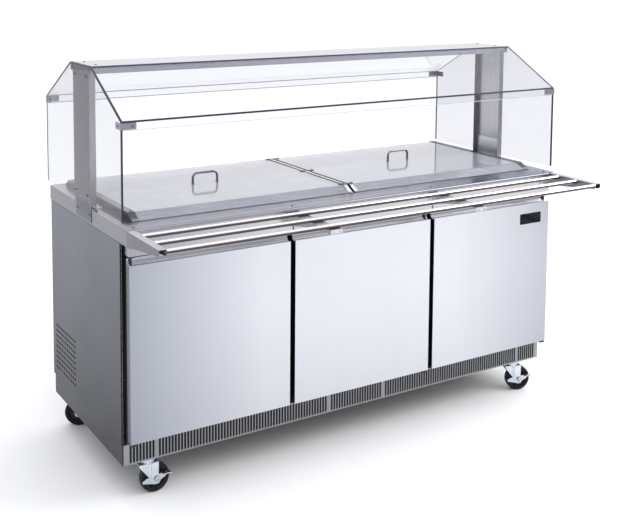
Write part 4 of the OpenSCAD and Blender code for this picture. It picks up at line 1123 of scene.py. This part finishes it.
def fork(c):
    bm, done = new_piece("v_fork_" + c, "fork_" + c, ["zinc", "bolt"], ["caster_fork_" + c], 35)
    wr = 50.8

    def prism_y(outline, y0, y1, inset=0.35, mat=0):
        # outline in (x, z) of the caster, extruded along y
        n = len(outline)
        cen = sum((Vector(p) for p in outline), Vector((0, 0))) / n
        sm = []
        for i, p in enumerate(outline):
            a, b, q = Vector(outline[i - 1]), Vector(outline[(i + 1) % n]), Vector(p)
            u, v = (q - a).normalized(), (b - q).normalized()
            m = Vector((-u.y - v.y, u.x + v.x))
            m = m.normalized() if m.length > 1e-6 else Vector((-u.y, u.x))
            sm.append(q + m * inset)
        ar = sum(outline[i - 1][0] * outline[i][1] - outline[i][0] * outline[i - 1][1] for i in range(n))
        if ar < 0:
            sm = [Vector(p) * 2 - q for p, q in zip(outline, sm)]
        rings = []
        for pts, w in ((sm, y0), (outline, y0 + inset), (outline, y1 - inset), (sm, y1)):
            rings.append([bm.verts.new(Vector((p[0], w, p[1])) * MM) for p in pts])
        for a, b in zip(rings, rings[1:]):
            for i in range(n):
                f = bm.faces.new((a[i - 1], a[i], b[i], b[i - 1]))
                f.material_index = mat
        for ring in (rings[0], rings[-1]):
            f = bm.faces.new(ring)
            f.material_index = mat
    # legs with a folded leading flange and a raised plate
    leg = fillet([(-36, B - 24), (34, B - 24), (34, wr - 9), (30, wr - 14), (6, wr - 14), (1, wr - 10), (-2, wr + 5), (-4, wr + 11), (-34, wr + 49)],
                 [3, 3, 3, 3, 3, 3, 3, 3, 4], 3, True)
    for s in (-1, 1):
        y = s * 19.8
        prism_y(leg, y - 1.25, y + 1.25)
    prism_y(fillet([(6, B - 27), (31, B - 27), (31, wr - 6), (27, wr - 10), (10, wr - 10), (6, wr - 6)], 3, 3, True), -23.4, -21.0, 0.5)
    prism_y([(-1.2, B - 25), (3.6, B - 25), (3.6, wr - 9), (-1.2, wr - 3)], -24.0, -21.0, 0.6)
    # fork head
    top = fillet([(-36, -21), (34, -21), (34, 21), (-36, 21)], 5, 4, True)
    rings = []
    for z, k in ((B - 27, 0.6), (B - 26.5, 0.0), (B - 24.5, 0.0), (B - 24, 0.6)):
        rings.append([bm.verts.new(Vector((p.x - math.copysign(k, p.x), p.y - math.copysign(k, p.y), z)) * MM) for p in top])
    for a, b in zip(rings, rings[1:]):
        bridge(bm, a, b)
    bm.faces.new(rings[0])
    bm.faces.new(list(reversed(rings[-1])))
    lathe(bm, [(6.08, B - 25), (21.2, B - 25), (22, B - 22.6), (22, B - 20), (21.2, B - 18.6), (6.08, B - 18.5)], Matrix.Identity(4), 48, 0)
    # axle bolt: dome head in front, nut behind
    ax_f = frame_at(Vector((0.025, 0, 0.0508)), (0, -1, 0))
    lathe(bm, [(0, -24), (5.9, -24), (5.9, 24), (0, 24)], ax_f, 24, 1, closed=False)
    lathe(bm, [(0, 25.9), (8.8, 25.9), (9.0, 26.6), (8.7, 28.2), (7.6, 29.7), (5.6, 30.6), (2.8, 30.95), (0, 31)], ax_f, 28, 1, closed=False)
    hexagon(bm, ax_f, 10.0, -30.0, -21.2, 1)
    bm.transform(caster_frame(c))
    done()


def brake(c):
    bm, done = new_piece("v_brake_" + c, "brake_" + c, ["zinc"], ["caster_brake_" + c], 35)
    src = cad_bm("caster_brake_" + c)
    soft_edges(src, 0.0006, 3, 35.0)
    me = bpy.data.meshes.new("tmp_brake")
    src.to_mesh(me)
    src.free()
    bm.from_mesh(me)
    bpy.data.meshes.remove(me)
    done()


refine("caster_plates", "zinc", 0.0005, 2)
for c in ("fl", "fr", "rl", "rr"):
    fork(c)
    wheel(c)
for c in ("fl", "fr"):
    brake(c)


# ---------------------------------------------------------------- stage and light
def make_stage():
    me = bpy.data.meshes.new("floor")
    bm = bmesh.new()
    bmesh.ops.create_circle(bm, cap_ends=True, radius=14, segments=96)
    bm.to_mesh(me)
    bm.free()
    t = Tree("m_floor")
    n1 = t.noise(t.coords(), 3, (1, 1, 1), 3.0, 0.5)
    col = t.mix(t.rng(n1, 0.3, 0.7, 0, 1), g((0.94, 0.94, 0.942)), g((0.955, 0.955, 0.957)))
    t.principled(Base_Color=col, Roughness=t.rng(n1, 0.3, 0.7, 0.7, 0.85))
    me.materials.append(t.mat)
    ob = bpy.data.objects.new("floor", me)
    scene.collection.objects.link(ob)


make_stage()

# a soft studio: bright backdrop behind and to the right, dimmer walls to the left
AZIMUTH = [(-180, 0.85), (-150, 0.70), (-115, 0.58), (-75, 0.55), (-35, 0.60), (-8, 1.0), (6, 1.15), (62, 1.15),
           (95, 1.05), (130, 0.95), (155, 0.90), (180, 0.85)]


def make_world():
    world = bpy.data.worlds.new("studio")
    scene.world = world
    world.use_nodes = True
    nt = world.node_tree
    nt.nodes.clear()
    new = nt.nodes.new
    out, bg = new("ShaderNodeOutputWorld"), new("ShaderNodeBackground")
    nt.links.new(bg.outputs[0], out.inputs[0])
    tc, sep, at = new("ShaderNodeTexCoord"), new("ShaderNodeSeparateXYZ"), new("ShaderNodeMath")
    nt.links.new(tc.outputs["Generated"], sep.inputs[0])
    at.operation = "ARCTAN2"
    nt.links.new(sep.outputs[0], at.inputs[0])
    nt.links.new(sep.outputs[1], at.inputs[1])
    mr = new("ShaderNodeMapRange")
    nt.links.new(at.outputs[0], mr.inputs["Value"])
    for i, v in ((1, -math.pi), (2, math.pi), (3, 0.0), (4, 1.0)):
        mr.inputs[i].default_value = v
    ramp = new("ShaderNodeValToRGB")
    ramp.color_ramp.interpolation = "EASE"
    els = ramp.color_ramp.elements
    while len(els) < len(AZIMUTH):
        els.new(0.5)
    for e, (deg, v) in zip(els, AZIMUTH):
        e.position = (deg + 180) / 360
        tint = max(0.0, 1 - v)
        e.color = (v * (1 - 0.03 * tint), v * (1 - 0.01 * tint), v * (1 + 0.06 * tint), 1)
    nt.links.new(mr.outputs[0], ramp.inputs[0])
    up = new("ShaderNodeMapRange")
    nt.links.new(sep.outputs[2], up.inputs["Value"])
    up.interpolation_type = "SMOOTHSTEP"
    for i, v in ((1, 0.38), (2, 0.80), (3, 0.0), (4, 1.0)):
        up.inputs[i].default_value = v
    mix = new("ShaderNodeMix")
    mix.data_type = "RGBA"
    nt.links.new(up.outputs[0], mix.inputs[0])
    nt.links.new(ramp.outputs[0], mix.inputs[6])
    mix.inputs[7].default_value = (1.45, 1.46, 1.50, 1)
    nt.links.new(mix.outputs[2], bg.inputs[0])
    bg.inputs[1].default_value = 1.0


make_world()


def area(name, loc, target, size, power, color=(1, 1, 1)):
    d = bpy.data.lights.new(name, "AREA")
    d.shape = "RECTANGLE"
    d.size, d.size_y = size
    d.energy = power
    d.color = color
    ob = bpy.data.objects.new(name, d)
    scene.collection.objects.link(ob)
    ob.location = loc
    ob.rotation_euler = (Vector(target) - Vector(loc)).to_track_quat("-Z", "Y").to_euler()
    return ob


area("key", (3.9, -2.6, 3.4), (0.3, -0.6, 0.2), (3.0, 2.4), 105)
area("front", (-0.6, -5.2, 3.9), (0.2, -1.2, 0.0), (4.0, 2.0), 45)

scene.view_settings.view_transform = "Standard"
scene.view_settings.look = "None"
scene.cycles.max_bounces = 12
scene.cycles.transmission_bounces = 10
scene.cycles.transparent_max_bounces = 12
